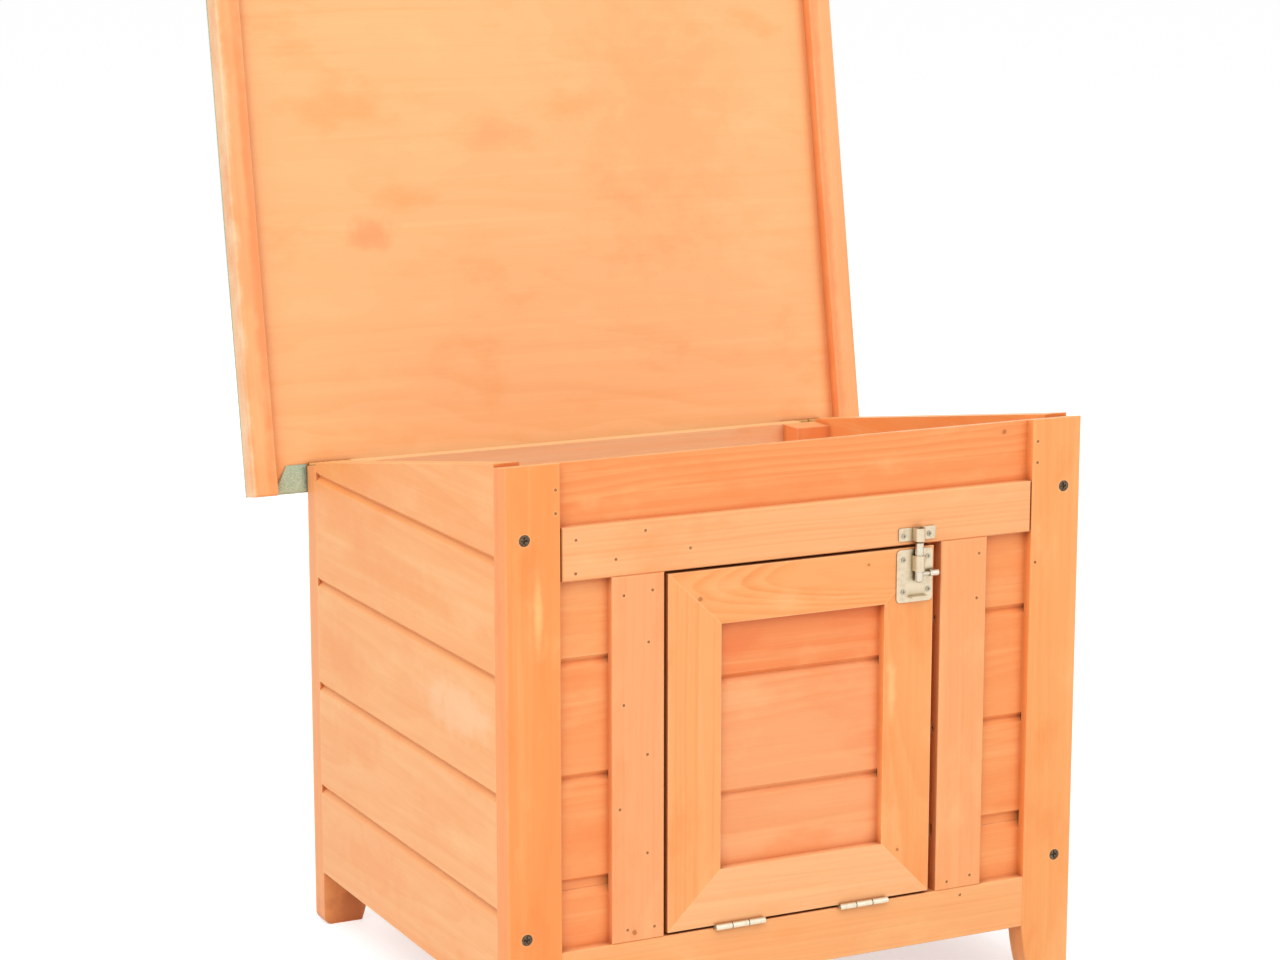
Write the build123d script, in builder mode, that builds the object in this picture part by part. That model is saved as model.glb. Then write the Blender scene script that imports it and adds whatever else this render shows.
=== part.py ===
from build123d import *
from math import atan2, cos, degrees, radians, sin, tan
import os

# Overall sizes. x runs across the front, y from front to back, z up from the floor. Millimetres.
BODY_WIDTH = 428.0
BODY_DEPTH = 350.0
LID_SIDE_OVERHANG = 36.0
LID_LENGTH = 460.0
TOP_FRONT = 401.0
TOP_BACK = 343.0
BACK_WALL_TOP = 344.0
LID_LEAN = 9.7
LID_SHIFT = -7.0

# Wall boards
WALL = 18.0
END_BOARD = 10.5
BOARD_PITCH = 77.2
BOARD_BOTTOM = 40.5
FIRST_JOINT = 104.2
BACK_ROWS = 4
SIDE_ROWS = 5
BEVEL_HIGH = 3.5
BEVEL_DEEP = 3.0
TONGUE = 3.6
TONGUE_HIGH = 4.0
TONGUE_CLEARANCE = 0.2

# Posts
POST_WIDTH = 38.0
POST_DROP = 2.5
FOOT_FLAT_INSET = 8.5
FOOT_MIDDLE_INSET = 3.6
FOOT_MIDDLE_HEIGHT = 17.0
FOOT_ROUND = 6.0
ARRIS = 0.8
RABBET_WIDTH = 8.5
RABBET_CLEARANCE = 0.5

# Front: rail, battens and boards
BATTEN_SETBACK = 1.0
BATTEN = 6.5
RAIL_TOP = 77.0
RAIL_BOTTOM = 41.0
OPENING_LEFT = -102.3
OPENING_RIGHT = 105.4
OPENING_TOP = 321.4
TOP_BATTEN_TOP = 356.3
TOP_BATTEN_LEFT_GAP = 1.4
TOP_BATTEN_RIGHT_GAP = 0.5
LEFT_BATTEN_WIDTH = 37.4
RIGHT_BATTEN_WIDTH = 35.9
FRONT_JOINT = 267.1
FRONT_PITCH = 77.0
STRIP_TOP = 115.4
STRIP_BEVEL = 5.2
STRIP_GAP_TOP = 121.3
STRIP_GAP_BEVEL = 2.6
STRIP_TONGUE = 10.0

# Inside
CORNER_WIDE = 28.0
CORNER_DEEP = 22.0
CORNER_FRONT_TOP = 386.0
FLOOR = 8.0
FLOOR_TOP = 68.0
FLOOR_PLAY = 0.5
CLEAT = 18.0
DOOR_STOP_WIDTH = 180.0
DOOR_STOP_THICK = 8.0
DOOR_STOP_HIGH = 20.0
DOOR_STOP_LAP = 9.4

# Door
DOOR_LEFT_GAP = 2.5
DOOR_RIGHT_GAP = 6.5
DOOR_TOP_GAP = 1.9
DOOR_BOTTOM_GAP = 2.0
DOOR_STOP_GAP = 0.3
STILE_LEFT_WIDTH = 38.8
STILE_RIGHT_WIDTH = 37.3
RAIL_TOP_WIDTH = 36.8
RAIL_BOTTOM_WIDTH = 37.8
DOOR_JOINTS = (164.8, 243.4)

# Lid
LID_STRIP = 18.2
LID_STRIP_HANG = 11.0
LID_PANEL = 7.8
LID_OVERHANG = 19.5
LID_SEAT_GAP = 0.3
STRIP_END_ROUND = 2.0
FELT = 1.4
FELT_FLAP = 20.5
FELT_CORNER = 10.5
FELT_SIDE_PLAY = 0.3
FELT_NOTCH_PLAY = 1.0

# Hinges: bent sheet leaves round a pin
LEAF = 0.8
KNUCKLE = 2.1
PIN = 1.2
PIN_PLAY = 0.05
KNUCKLE_PLAY = 0.3
LID_PIVOT_OUT = 2.5
LID_HINGE_WIDE = 34.0
LID_LEAF_LONG = 16.0
DOOR_PIVOT_HEIGHT = 78.0
DOOR_PIVOT_OUT = 1.3
DOOR_HINGE_AT = 47.2
DOOR_HINGE_WIDE = 37.4
DOOR_LEAF_LONG = 16.0
LEAF_SCREW_SHARE = 0.62

# Bolt and its keeper
PLATE = 0.9
BOLT_IN = 13.4
ROD = 2.9
ROD_PLAY = 0.07
ROD_BACK_PLAY = 0.1
STRAP = 0.9
KEEPER_IN = 27.7
KEEPER_WIDTH = 28.4
KEEPER_LIFT = 2.9
KEEPER_HIGH = 8.9
BOLT_PLATE_IN = 28.8
BOLT_PLATE_WIDTH = 27.7
BOLT_PLATE_HIGH = 36.0
BOLT_PLATE_DROP = 1.0
PLATE_ROUND = 3.0
STRAP_LIFT = 21.5
STRAP_HIGH = 10.5
TAB_LIFT = 4.5
TAB_WIDE = 12.5
TAB_OUT = 5.0
ROD_TIP_GAP = 0.5
ROD_LONG = 27.3
KNOB_LIFT = 19.3
KNOB_NECK = 1.3
KNOB_HEAD = 2.25
KNOB_HEAD_OUT = 7.9
KNOB_HEAD_LONG = 7.0
BOLT_UP = 6.5
NOTCH_PLAY = 0.4

# Fasteners
POST_SCREW_IN = 13.0
POST_SCREW_HEIGHTS = (90.0, 351.0)
BACK_SCREW_HEIGHTS = (90.0, 300.0)
POST_SCREW_HEAD = 3.8
POST_SCREW_HEAD_DEEP = 2.6
POST_SCREW_SHANK = 2.0
POST_SCREW_LONG = 42.0
POST_SCREW_SUNK = 0.4
SMALL_HEAD = 1.8
SMALL_HEAD_PROUD = 0.4
SMALL_SHANK = 1.1
SMALL_LONG = 6.0
SCREW_PLAY = 0.05
BRAD = 1.0
BRAD_LONG = 6.0
BRAD_SUNK = 0.3
CROSS_LONG = 1.2
CROSS_WIDE = 0.24
CROSS_DEEP = 0.3

# Spots are given as a distance across and a height, each line saying where across is counted from.
# Posts: the side, then the height. All lie the same way in from the post's inner edge.
POST_BRAD_IN = 3.4
POST_BRADS = ((-1, 381.5), (-1, 366.5), (1, 383.4), (1, 368.9), (1, 300.0))
# Battens: from the left edge of each.
TOP_BATTEN_BRADS = ((9.6, 347.8), (9.3, 326.3), (58.6, 349.6), (37.6, 332.8), (90.8, 335.1))
LEFT_BATTEN_BRADS = (
    (8.2, 308.6),
    (28.8, 310.3),
    (25.9, 276.4),
    (8.2, 236.5),
    (25.1, 201.9),
    (5.3, 167.4),
    (25.1, 135.8),
    (10.8, 85.4),
    (30.3, 85.1),
)
RIGHT_BATTEN_BRADS = ((29.5, 310.4), (28.3, 279.7), (8.8, 82.6), (27.1, 84.7))
# Bottom rail: from the right side of the doorway.
RAIL_BRADS = ((19.7, 71.6),)
# Keeper and bolt plate: from the left bottom corner of each plate.
KEEPER_SCREWS = ((4.0, 3.4), (23.7, 3.8))
BOLT_SCREWS = ((5.1, 29.2), (24.0, 30.3), (5.1, 7.4), (24.4, 7.8))

# Lines that follow from the sizes above
GROOVE_HIGH = TONGUE_HIGH + TONGUE_CLEARANCE
SLOPE = degrees(atan2(TOP_FRONT - TOP_BACK, BODY_DEPTH))
LID_WIDTH = BODY_WIDTH + 2 * LID_SIDE_OVERHANG
LID_UNDER = LID_PIVOT_OUT
LID_FRONT_END = LID_LENGTH - LID_OVERHANG
LID_REACH = (
    LID_PIVOT_OUT
    + LID_FRONT_END * sin(radians(LID_LEAN))
    + (LID_UNDER + LID_PANEL + FELT) * cos(radians(LID_LEAN))
)
BOLT_REACH = PLATE + ROD_BACK_PLAY + ROD + ROD + ROD_PLAY + STRAP - BATTEN_SETBACK
FRONT = BOLT_REACH - (BOLT_REACH + BODY_DEPTH + LID_REACH) / 2
BACK = FRONT + BODY_DEPTH
HALF = BODY_WIDTH / 2
CENTRING = -LID_SHIFT
POST_INNER = HALF - POST_WIDTH
INSIDE = HALF - WALL
INSIDE_FRONT = FRONT + WALL
INSIDE_BACK = BACK - WALL
FACE = FRONT + BATTEN_SETBACK
BOARD_FACE = FACE + BATTEN
BACK_BOARD_FACE = INSIDE_BACK + END_BOARD
BOARD_END = POST_INNER + RABBET_WIDTH - RABBET_CLEARANCE
CUT_HIGH = TOP_FRONT + POST_WIDTH
TOP_BATTEN_LEFT = -POST_INNER + TOP_BATTEN_LEFT_GAP
TOP_BATTEN_RIGHT = POST_INNER - TOP_BATTEN_RIGHT_GAP
LEFT_BATTEN_OUTER = OPENING_LEFT - LEFT_BATTEN_WIDTH
RIGHT_BATTEN_OUTER = OPENING_RIGHT + RIGHT_BATTEN_WIDTH
DOOR_LEFT = OPENING_LEFT + DOOR_LEFT_GAP
DOOR_RIGHT = OPENING_RIGHT - DOOR_RIGHT_GAP
DOOR_TOP = OPENING_TOP - DOOR_TOP_GAP
DOOR_BOTTOM = RAIL_TOP + DOOR_BOTTOM_GAP
STILE_LEFT_INNER = DOOR_LEFT + STILE_LEFT_WIDTH
STILE_RIGHT_INNER = DOOR_RIGHT - STILE_RIGHT_WIDTH
PANEL_TOP = DOOR_TOP - RAIL_TOP_WIDTH
PANEL_BOTTOM = DOOR_BOTTOM + RAIL_BOTTOM_WIDTH
DOOR_STOP_BOTTOM = OPENING_TOP - DOOR_STOP_LAP
LID_HINGE_AT = HALF - POST_WIDTH / 2
POST_SCREW_X = HALF - POST_SCREW_IN
BOLT_X = DOOR_RIGHT - BOLT_IN
KEEPER_LEFT = DOOR_RIGHT - KEEPER_IN
KEEPER_RIGHT = KEEPER_LEFT + KEEPER_WIDTH
KEEPER_BOTTOM = OPENING_TOP + KEEPER_LIFT
KEEPER_TOP = KEEPER_BOTTOM + KEEPER_HIGH
BOLT_PLATE_LEFT = DOOR_RIGHT - BOLT_PLATE_IN
BOLT_PLATE_RIGHT = BOLT_PLATE_LEFT + BOLT_PLATE_WIDTH
BOLT_PLATE_TOP = DOOR_TOP - BOLT_PLATE_DROP
BOLT_PLATE_BOTTOM = BOLT_PLATE_TOP - BOLT_PLATE_HIGH
STRAP_BOTTOM = BOLT_PLATE_BOTTOM + STRAP_LIFT
STRAP_TOP = STRAP_BOTTOM + STRAP_HIGH
TAB_TOP = BOLT_PLATE_BOTTOM + TAB_LIFT
ROD_TIP = KEEPER_BOTTOM - ROD_TIP_GAP
ROD_END = ROD_TIP - ROD_LONG
KNOB_HEIGHT = BOLT_PLATE_BOTTOM + KNOB_LIFT
KNOB_HEAD_LEFT = BOLT_X + KNOB_HEAD_OUT
KNOB_HEAD_RIGHT = KNOB_HEAD_LEFT + KNOB_HEAD_LONG
DOOR_BACK = INSIDE_FRONT - DOOR_STOP_GAP
DOOR_PIVOT_Y = FRONT - DOOR_PIVOT_OUT
LID_PIVOT_Y = BACK + LID_PIVOT_OUT
LID_PIVOT_Z = (
    TOP_BACK
    - LID_PIVOT_OUT * tan(radians(SLOPE))
    + (LID_SEAT_GAP - LID_UNDER) / cos(radians(SLOPE))
)
PLATE_FACE = FACE - PLATE
ROD_Y = PLATE_FACE - ROD_BACK_PLAY - ROD
STRAP_INNER = ROD + ROD_PLAY
STRAP_OUTER = STRAP_INNER + STRAP
LID_LEAF_SCREW = LID_LEAF_LONG * LEAF_SCREW_SHARE
DOOR_LEAF_END = DOOR_LEAF_LONG + FACE - DOOR_PIVOT_Y
DOOR_LEAF_SCREW = DOOR_LEAF_LONG * LEAF_SCREW_SHARE + FACE - DOOR_PIVOT_Y

# The open lid is drawn on this plane: its x is across, its y runs up the lid from the hinge pin,
# and its z points out of the lid's upper face, which is at the back while the lid is open.
LID_PLANE = Plane(
    origin=(LID_SHIFT, LID_PIVOT_Y, LID_PIVOT_Z),
    x_dir=(-1, 0, 0),
    z_dir=(0, cos(radians(LID_LEAN)), -sin(radians(LID_LEAN))),
)



def shifted(spots, x, z=0.0):
    """Spots on the front, moved by the place that they are counted from."""
    return [(x + across, z + height) for across, height in spots]


post_brads = [(side * (POST_INNER + POST_BRAD_IN), height) for side, height in POST_BRADS]
top_batten_brads = shifted(TOP_BATTEN_BRADS, TOP_BATTEN_LEFT)
left_batten_brads = shifted(LEFT_BATTEN_BRADS, LEFT_BATTEN_OUTER)
right_batten_brads = shifted(RIGHT_BATTEN_BRADS, OPENING_RIGHT)
rail_brads = shifted(RAIL_BRADS, OPENING_RIGHT)
keeper_spots = shifted(KEEPER_SCREWS, KEEPER_LEFT, KEEPER_BOTTOM)
bolt_spots = shifted(BOLT_SCREWS, BOLT_PLATE_LEFT, BOLT_PLATE_BOTTOM)

os.makedirs("parts", exist_ok=True)


def save(name, part):
    """Writes one piece. Pieces are drawn about the body's middle, and the lid sits off it by
    LID_SHIFT, so all move by half of the whole object's lopsidedness to centre it on the origin."""
    placed = part.moved(Location((CENTRING, 0, 0)))
    placed.label = name
    export_step(placed, f"parts/{name}.step")


def mid(pair):
    return (pair[0] + pair[1]) / 2


def span(pair):
    return pair[1] - pair[0]


def block(x, y, z, mode=Mode.ADD):
    """A box between three pairs of limits, in the open part builder."""
    with BuildSketch(Plane.XY.offset(z[0])) as outline:
        with Locations((mid(x), mid(y))):
            Rectangle(span(x), span(y))
    extrude(outline.sketch, amount=span(z), mode=mode)


def lid_block(x, along, out, mode=Mode.ADD):
    """A box on the lid's plane: across, along the lid, and out through its thickness."""
    with BuildSketch(LID_PLANE.offset(out[0])) as outline:
        with Locations((mid(x), mid(along))):
            Rectangle(span(x), span(along))
    extrude(outline.sketch, amount=span(out), mode=mode)


def cut_to_slope(below):
    """Cuts the open part off along a line that lies below the wall tops' line by the given drop."""
    line = ((FRONT - WALL, TOP_FRONT + WALL * tan(radians(SLOPE)) - below),
            (BACK + WALL, TOP_BACK - WALL * tan(radians(SLOPE)) - below))
    with BuildSketch(Plane.YZ.offset(-HALF - WALL)) as outline:
        with BuildLine():
            Polyline(
                line[0],
                line[1],
                (line[1][0], CUT_HIGH),
                (line[0][0], CUT_HIGH),
                close=True,
            )
        make_face()
    extrude(outline.sketch, amount=BODY_WIDTH + 2 * WALL, mode=Mode.SUBTRACT)


def drill(spots, start_y, depth, radius, inward=1):
    """Round holes from a face that looks forward (inward 1) or backward (inward -1)."""
    with BuildSketch(Plane.XZ.offset(-start_y)) as outline:
        with Locations(*spots):
            Circle(radius)
    extrude(outline.sketch, amount=-inward * depth, mode=Mode.SUBTRACT)


# Boards with a tongue, a groove and bevelled face edges


def board_points(face, into, thick, low, high, tongue, groove, low_bevel, high_bevel):
    """Section of one board. into is +1 or -1, the way from its face to its back."""
    middle = thick / 2
    half_tongue = TONGUE / 2
    half_groove = half_tongue + TONGUE_CLEARANCE
    points = [(0, low + low_bevel), (0, high - high_bevel)]
    if high_bevel:
        points += [(BEVEL_DEEP, high)]
    if tongue:
        points += [(middle - half_tongue, high), (middle - half_tongue, high + tongue)]
        points += [(middle + half_tongue, high + tongue), (middle + half_tongue, high)]
    points += [(thick, high), (thick, low)]
    if groove:
        points += [(middle + half_groove, low), (middle + half_groove, low + groove)]
        points += [(middle - half_groove, low + groove), (middle - half_groove, low)]
    if low_bevel:
        points += [(BEVEL_DEEP, low)]
    return [(face + into * depth, height) for depth, height in points]


def board_along_x(x, section):
    with BuildSketch(Plane.YZ.offset(x[0])) as outline:
        with BuildLine():
            Polyline(*section, close=True)
        make_face()
    extrude(outline.sketch, amount=span(x))


def board_along_y(y, section):
    with BuildSketch(Plane.XZ.offset(-y[1])) as outline:
        with BuildLine():
            Polyline(*section, close=True)
        make_face()
    extrude(outline.sketch, amount=span(y))


def wall_rows(rows, top):
    """Height limits of the rows in the side and back walls."""
    joints = [FIRST_JOINT + BOARD_PITCH * row for row in range(rows - 1)]
    lows = [BOARD_BOTTOM] + joints
    highs = joints + [top]
    return list(zip(lows, highs))


def hinge_spots(at, wide, along):
    """Screw spots of a pair of hinges: two in each leaf, in line with its outer knuckles."""
    return [(sign * at + shift * wide / 3, along) for sign in (-1, 1) for shift in (-1, 1)]


WALL_LEAF_SPOTS = hinge_spots(LID_HINGE_AT, LID_HINGE_WIDE, LID_PIVOT_Z - LID_LEAF_SCREW)
DOOR_LEAF_SPOTS = hinge_spots(DOOR_HINGE_AT, DOOR_HINGE_WIDE, DOOR_PIVOT_Y + DOOR_LEAF_SCREW)


# Posts

# How far the middle of a rounded corner lies in from its square corner, for a radius of one.
EIGHTH = 1 - cos(radians(45))


def post(side, front):
    inner, outer = side * POST_INNER, side * HALF
    with BuildPart() as piece:
        with BuildSketch(Plane.XZ.offset(-(INSIDE_FRONT if front else BACK))):
            with BuildLine():
                Polyline(
                    (inner, BOARD_BOTTOM),
                    (inner, TOP_FRONT),
                    (outer, TOP_FRONT),
                    (outer, FOOT_ROUND),
                )
                ThreePointArc(
                    (outer, FOOT_ROUND),
                    (outer - side * FOOT_ROUND * EIGHTH, FOOT_ROUND * EIGHTH),
                    (outer - side * FOOT_ROUND, 0),
                )
                Line(
                    (outer - side * FOOT_ROUND, 0),
                    (inner + side * FOOT_FLAT_INSET, 0),
                )
                ThreePointArc(
                    (inner + side * FOOT_FLAT_INSET, 0),
                    (inner + side * FOOT_MIDDLE_INSET, FOOT_MIDDLE_HEIGHT),
                    (inner, BOARD_BOTTOM),
                )
            make_face()
        extrude(amount=WALL)
        cut_to_slope(POST_DROP)
        shown = piece.faces().sort_by(Axis.Y)
        shown = shown[0] if front else shown[-1]
        chamfer(shown.edges().filter_by(Axis.Z), length=ARRIS)
        rabbet = sorted((inner, inner + side * RABBET_WIDTH))
        if front:
            block(rabbet, (BOARD_FACE, INSIDE_FRONT), (RAIL_TOP, CUT_HIGH), Mode.SUBTRACT)
            face, inward, heights = FRONT, 1, POST_SCREW_HEIGHTS
            brads = [spot for spot in post_brads if spot[0] * side > 0]
            drill(brads, FRONT, BRAD_LONG + SCREW_PLAY, BRAD + SCREW_PLAY)
        else:
            block(rabbet, (INSIDE_BACK, BACK_BOARD_FACE), (BOARD_BOTTOM, CUT_HIGH), Mode.SUBTRACT)
            face, inward, heights = BACK, -1, BACK_SCREW_HEIGHTS
            hinge_screws = [spot for spot in WALL_LEAF_SPOTS if spot[0] * side > 0]
            drill(hinge_screws, BACK, SMALL_LONG + SCREW_PLAY, SMALL_SHANK + SCREW_PLAY, -1)
        spots = [(side * POST_SCREW_X, height) for height in heights]
        drill(spots, face, POST_SCREW_SUNK + POST_SCREW_HEAD_DEEP, POST_SCREW_HEAD + SCREW_PLAY, inward)
        drill(spots, face, WALL, POST_SCREW_SHANK + SCREW_PLAY, inward)
    return piece.part


for side, side_name in ((-1, "left"), (1, "right")):
    save(f"post_front_{side_name}", post(side, True))
    save(f"post_back_{side_name}", post(side, False))


# Side walls


def side_board(side, low, high, first, last):
    section = board_points(
        side * HALF,
        -side,
        WALL,
        low,
        high,
        0 if last else TONGUE_HIGH,
        0 if first else GROOVE_HIGH,
        0 if first else BEVEL_HIGH,
        0 if last else BEVEL_HIGH,
    )
    with BuildPart() as piece:
        board_along_y((INSIDE_FRONT, INSIDE_BACK), section)
        if last:
            cut_to_slope(0)
        deep = POST_SCREW_LONG + POST_SCREW_SUNK - WALL + SCREW_PLAY
        for face, inward, heights in (
            (INSIDE_FRONT, 1, POST_SCREW_HEIGHTS),
            (INSIDE_BACK, -1, BACK_SCREW_HEIGHTS),
        ):
            spots = [(side * POST_SCREW_X, at) for at in heights if low < at < high]
            if spots:
                drill(spots, face, deep, POST_SCREW_SHANK + SCREW_PLAY, inward)
    return piece.part


for side, side_name in ((-1, "left"), (1, "right")):
    for row, (low, high) in enumerate(wall_rows(SIDE_ROWS, TOP_FRONT)):
        board = side_board(side, low, high, row == 0, row == SIDE_ROWS - 1)
        save(f"side_board_{side_name}_{row + 1}", board)


# Back wall


for row, (low, high) in enumerate(wall_rows(BACK_ROWS, BACK_WALL_TOP)):
    first, last = row == 0, row == BACK_ROWS - 1
    section = board_points(
        BACK_BOARD_FACE,
        -1,
        END_BOARD,
        low,
        high,
        0 if last else TONGUE_HIGH,
        0 if first else GROOVE_HIGH,
        0 if first else BEVEL_HIGH,
        0 if last else BEVEL_HIGH,
    )
    with BuildPart() as back_board:
        board_along_x((-BOARD_END, BOARD_END), section)
    save(f"back_board_{row + 1}", back_board.part)


# Front wall

with BuildPart() as bottom_rail:
    block((-POST_INNER, POST_INNER), (FACE, INSIDE_FRONT), (RAIL_BOTTOM, RAIL_TOP))
    chamfer(bottom_rail.faces().sort_by(Axis.Y)[0].edges().filter_by(Axis.X), length=ARRIS)
    drill(rail_brads, FACE, BRAD_LONG + SCREW_PLAY, BRAD + SCREW_PLAY)
    with BuildSketch(Plane.XY.offset(RAIL_TOP)):
        with Locations(*DOOR_LEAF_SPOTS):
            Circle(SMALL_SHANK + SCREW_PLAY)
    extrude(amount=-(SMALL_LONG + SCREW_PLAY), mode=Mode.SUBTRACT)
save("front_bottom_rail", bottom_rail.part)

TOP_JOINT = FRONT_JOINT + FRONT_PITCH
MIDDLE_JOINT = FRONT_JOINT - FRONT_PITCH

with BuildPart() as top_board:
    section = board_points(
        BOARD_FACE, 1, END_BOARD, TOP_JOINT, TOP_FRONT, 0, GROOVE_HIGH, BEVEL_HIGH, 0
    )
    board_along_x((-BOARD_END, BOARD_END), section)
    cut_to_slope(POST_DROP)
save("front_board_top", top_board.part)

with BuildPart() as header_board:
    section = board_points(
        BOARD_FACE,
        1,
        END_BOARD,
        FRONT_JOINT,
        TOP_JOINT,
        TONGUE_HIGH,
        GROOVE_HIGH,
        BEVEL_HIGH,
        BEVEL_HIGH,
    )
    board_along_x((-BOARD_END, BOARD_END), section)
    block(
        (OPENING_LEFT, OPENING_RIGHT),
        (BOARD_FACE, INSIDE_FRONT),
        (FRONT_JOINT, OPENING_TOP),
        Mode.SUBTRACT,
    )
save("front_board_header", header_board.part)


def front_board(x, row):
    """Short boards beside the door. Row 1 is the narrow strip on the rail."""
    if row == 1:
        points = [(0, RAIL_TOP), (0, STRIP_TOP - STRIP_BEVEL), (BEVEL_DEEP, STRIP_TOP)]
        low_face = (END_BOARD - TONGUE) / 2
        points += [(low_face, STRIP_TOP), (low_face, STRIP_TOP + STRIP_TONGUE)]
        points += [(low_face + TONGUE, STRIP_TOP + STRIP_TONGUE), (low_face + TONGUE, STRIP_TOP)]
        points += [(END_BOARD, STRIP_TOP), (END_BOARD, RAIL_TOP)]
        section = [(BOARD_FACE + depth, height) for depth, height in points]
    elif row == 2:
        section = board_points(
            BOARD_FACE,
            1,
            END_BOARD,
            STRIP_GAP_TOP,
            MIDDLE_JOINT,
            TONGUE_HIGH,
            GROOVE_HIGH,
            STRIP_GAP_BEVEL,
            BEVEL_HIGH,
        )
    else:
        section = board_points(
            BOARD_FACE,
            1,
            END_BOARD,
            MIDDLE_JOINT,
            FRONT_JOINT,
            TONGUE_HIGH,
            GROOVE_HIGH,
            BEVEL_HIGH,
            BEVEL_HIGH,
        )
    with BuildPart() as piece:
        board_along_x(x, section)
    return piece.part


for row in (1, 2, 3):
    save(f"front_board_left_{row}", front_board((-BOARD_END, OPENING_LEFT), row))
    save(f"front_board_right_{row}", front_board((OPENING_RIGHT, BOARD_END), row))


def batten(x, z, brads, screws=()):
    with BuildPart() as piece:
        block(x, (FACE, BOARD_FACE), z)
        chamfer(piece.faces().sort_by(Axis.Y)[0].edges(), length=ARRIS)
        drill(brads, FACE, BRAD_LONG + SCREW_PLAY, BRAD + SCREW_PLAY)
        if screws:
            drill(screws, FACE, SMALL_LONG + SCREW_PLAY, SMALL_SHANK + SCREW_PLAY)
    return piece.part


top_batten = batten(
    (TOP_BATTEN_LEFT, TOP_BATTEN_RIGHT),
    (OPENING_TOP, TOP_BATTEN_TOP),
    top_batten_brads,
    keeper_spots,
)
save("front_batten_top", top_batten)
left_batten = batten((LEFT_BATTEN_OUTER, OPENING_LEFT), (RAIL_TOP, OPENING_TOP), left_batten_brads)
save("front_batten_left", left_batten)
right_batten = batten(
    (OPENING_RIGHT, RIGHT_BATTEN_OUTER), (RAIL_TOP, OPENING_TOP), right_batten_brads
)
save("front_batten_right", right_batten)


# Inside: corner battens, floor and door stop


def corner_batten(side, front):
    x = sorted((side * INSIDE, side * (INSIDE - CORNER_WIDE)))
    if front:
        y, top = (INSIDE_FRONT, INSIDE_FRONT + CORNER_DEEP), CORNER_FRONT_TOP
    else:
        y, top = (INSIDE_BACK - CORNER_DEEP, INSIDE_BACK), BACK_WALL_TOP
    with BuildPart() as piece:
        block(x, y, (FLOOR_TOP, top))
    return piece.part


for side, side_name in ((-1, "left"), (1, "right")):
    save(f"corner_batten_front_{side_name}", corner_batten(side, True))
    save(f"corner_batten_back_{side_name}", corner_batten(side, False))

with BuildPart() as cleats:
    for side in (-1, 1):
        block(
            sorted((side * INSIDE, side * (INSIDE - CLEAT))),
            (INSIDE_FRONT, INSIDE_BACK),
            (FLOOR_TOP - FLOOR - CLEAT, FLOOR_TOP - FLOOR),
        )
save("floor_cleats", cleats.part)

with BuildPart() as floor_panel:
    block(
        (-INSIDE + FLOOR_PLAY, INSIDE - FLOOR_PLAY),
        (INSIDE_FRONT + FLOOR_PLAY, INSIDE_BACK - FLOOR_PLAY),
        (FLOOR_TOP - FLOOR, FLOOR_TOP),
    )
save("floor_panel", floor_panel.part)

with BuildPart() as door_stop:
    block(
        (-DOOR_STOP_WIDTH / 2, DOOR_STOP_WIDTH / 2),
        (INSIDE_FRONT, INSIDE_FRONT + DOOR_STOP_THICK),
        (DOOR_STOP_BOTTOM, DOOR_STOP_BOTTOM + DOOR_STOP_HIGH),
    )
save("door_stop", door_stop.part)


# Door


def frame_piece(corners, screws=()):
    """A mitred piece of the door's frame, drawn on the front face."""
    with BuildPart() as piece:
        with BuildSketch(Plane.XZ.offset(-BOARD_FACE)):
            with BuildLine():
                Polyline(*corners, close=True)
            make_face()
        extrude(amount=BATTEN)
        if screws:
            drill(screws, FACE, SMALL_LONG + SCREW_PLAY, SMALL_SHANK + SCREW_PLAY)
    return piece.part


OUTER_CORNERS = (
    (DOOR_LEFT, DOOR_BOTTOM),
    (DOOR_RIGHT, DOOR_BOTTOM),
    (DOOR_RIGHT, DOOR_TOP),
    (DOOR_LEFT, DOOR_TOP),
)
INNER_CORNERS = (
    (STILE_LEFT_INNER, PANEL_BOTTOM),
    (STILE_RIGHT_INNER, PANEL_BOTTOM),
    (STILE_RIGHT_INNER, PANEL_TOP),
    (STILE_LEFT_INNER, PANEL_TOP),
)


def mitre(screw, first, second):
    """Which of two mitred pieces a screw spot falls in, as a side of the line between corners."""
    (x0, z0), (x1, z1) = first, second
    return (x1 - x0) * (screw[1] - z0) - (z1 - z0) * (screw[0] - x0) > 0


RIGHT_STILE_SCREWS = [at for at in bolt_spots if not mitre(at, INNER_CORNERS[2], OUTER_CORNERS[2])]
TOP_RAIL_SCREWS = [at for at in bolt_spots if mitre(at, INNER_CORNERS[2], OUTER_CORNERS[2])]
FRAME_NAMES = ("door_rail_bottom", "door_stile_right", "door_rail_top", "door_stile_left")
FRAME_SCREWS = ((), RIGHT_STILE_SCREWS, TOP_RAIL_SCREWS, ())

for index, name in enumerate(FRAME_NAMES):
    after = (index + 1) % 4
    corners = (
        OUTER_CORNERS[index],
        OUTER_CORNERS[after],
        INNER_CORNERS[after],
        INNER_CORNERS[index],
    )
    save(name, frame_piece(corners, FRAME_SCREWS[index]))

door_edges = (DOOR_BOTTOM, *DOOR_JOINTS, DOOR_TOP)

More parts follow.
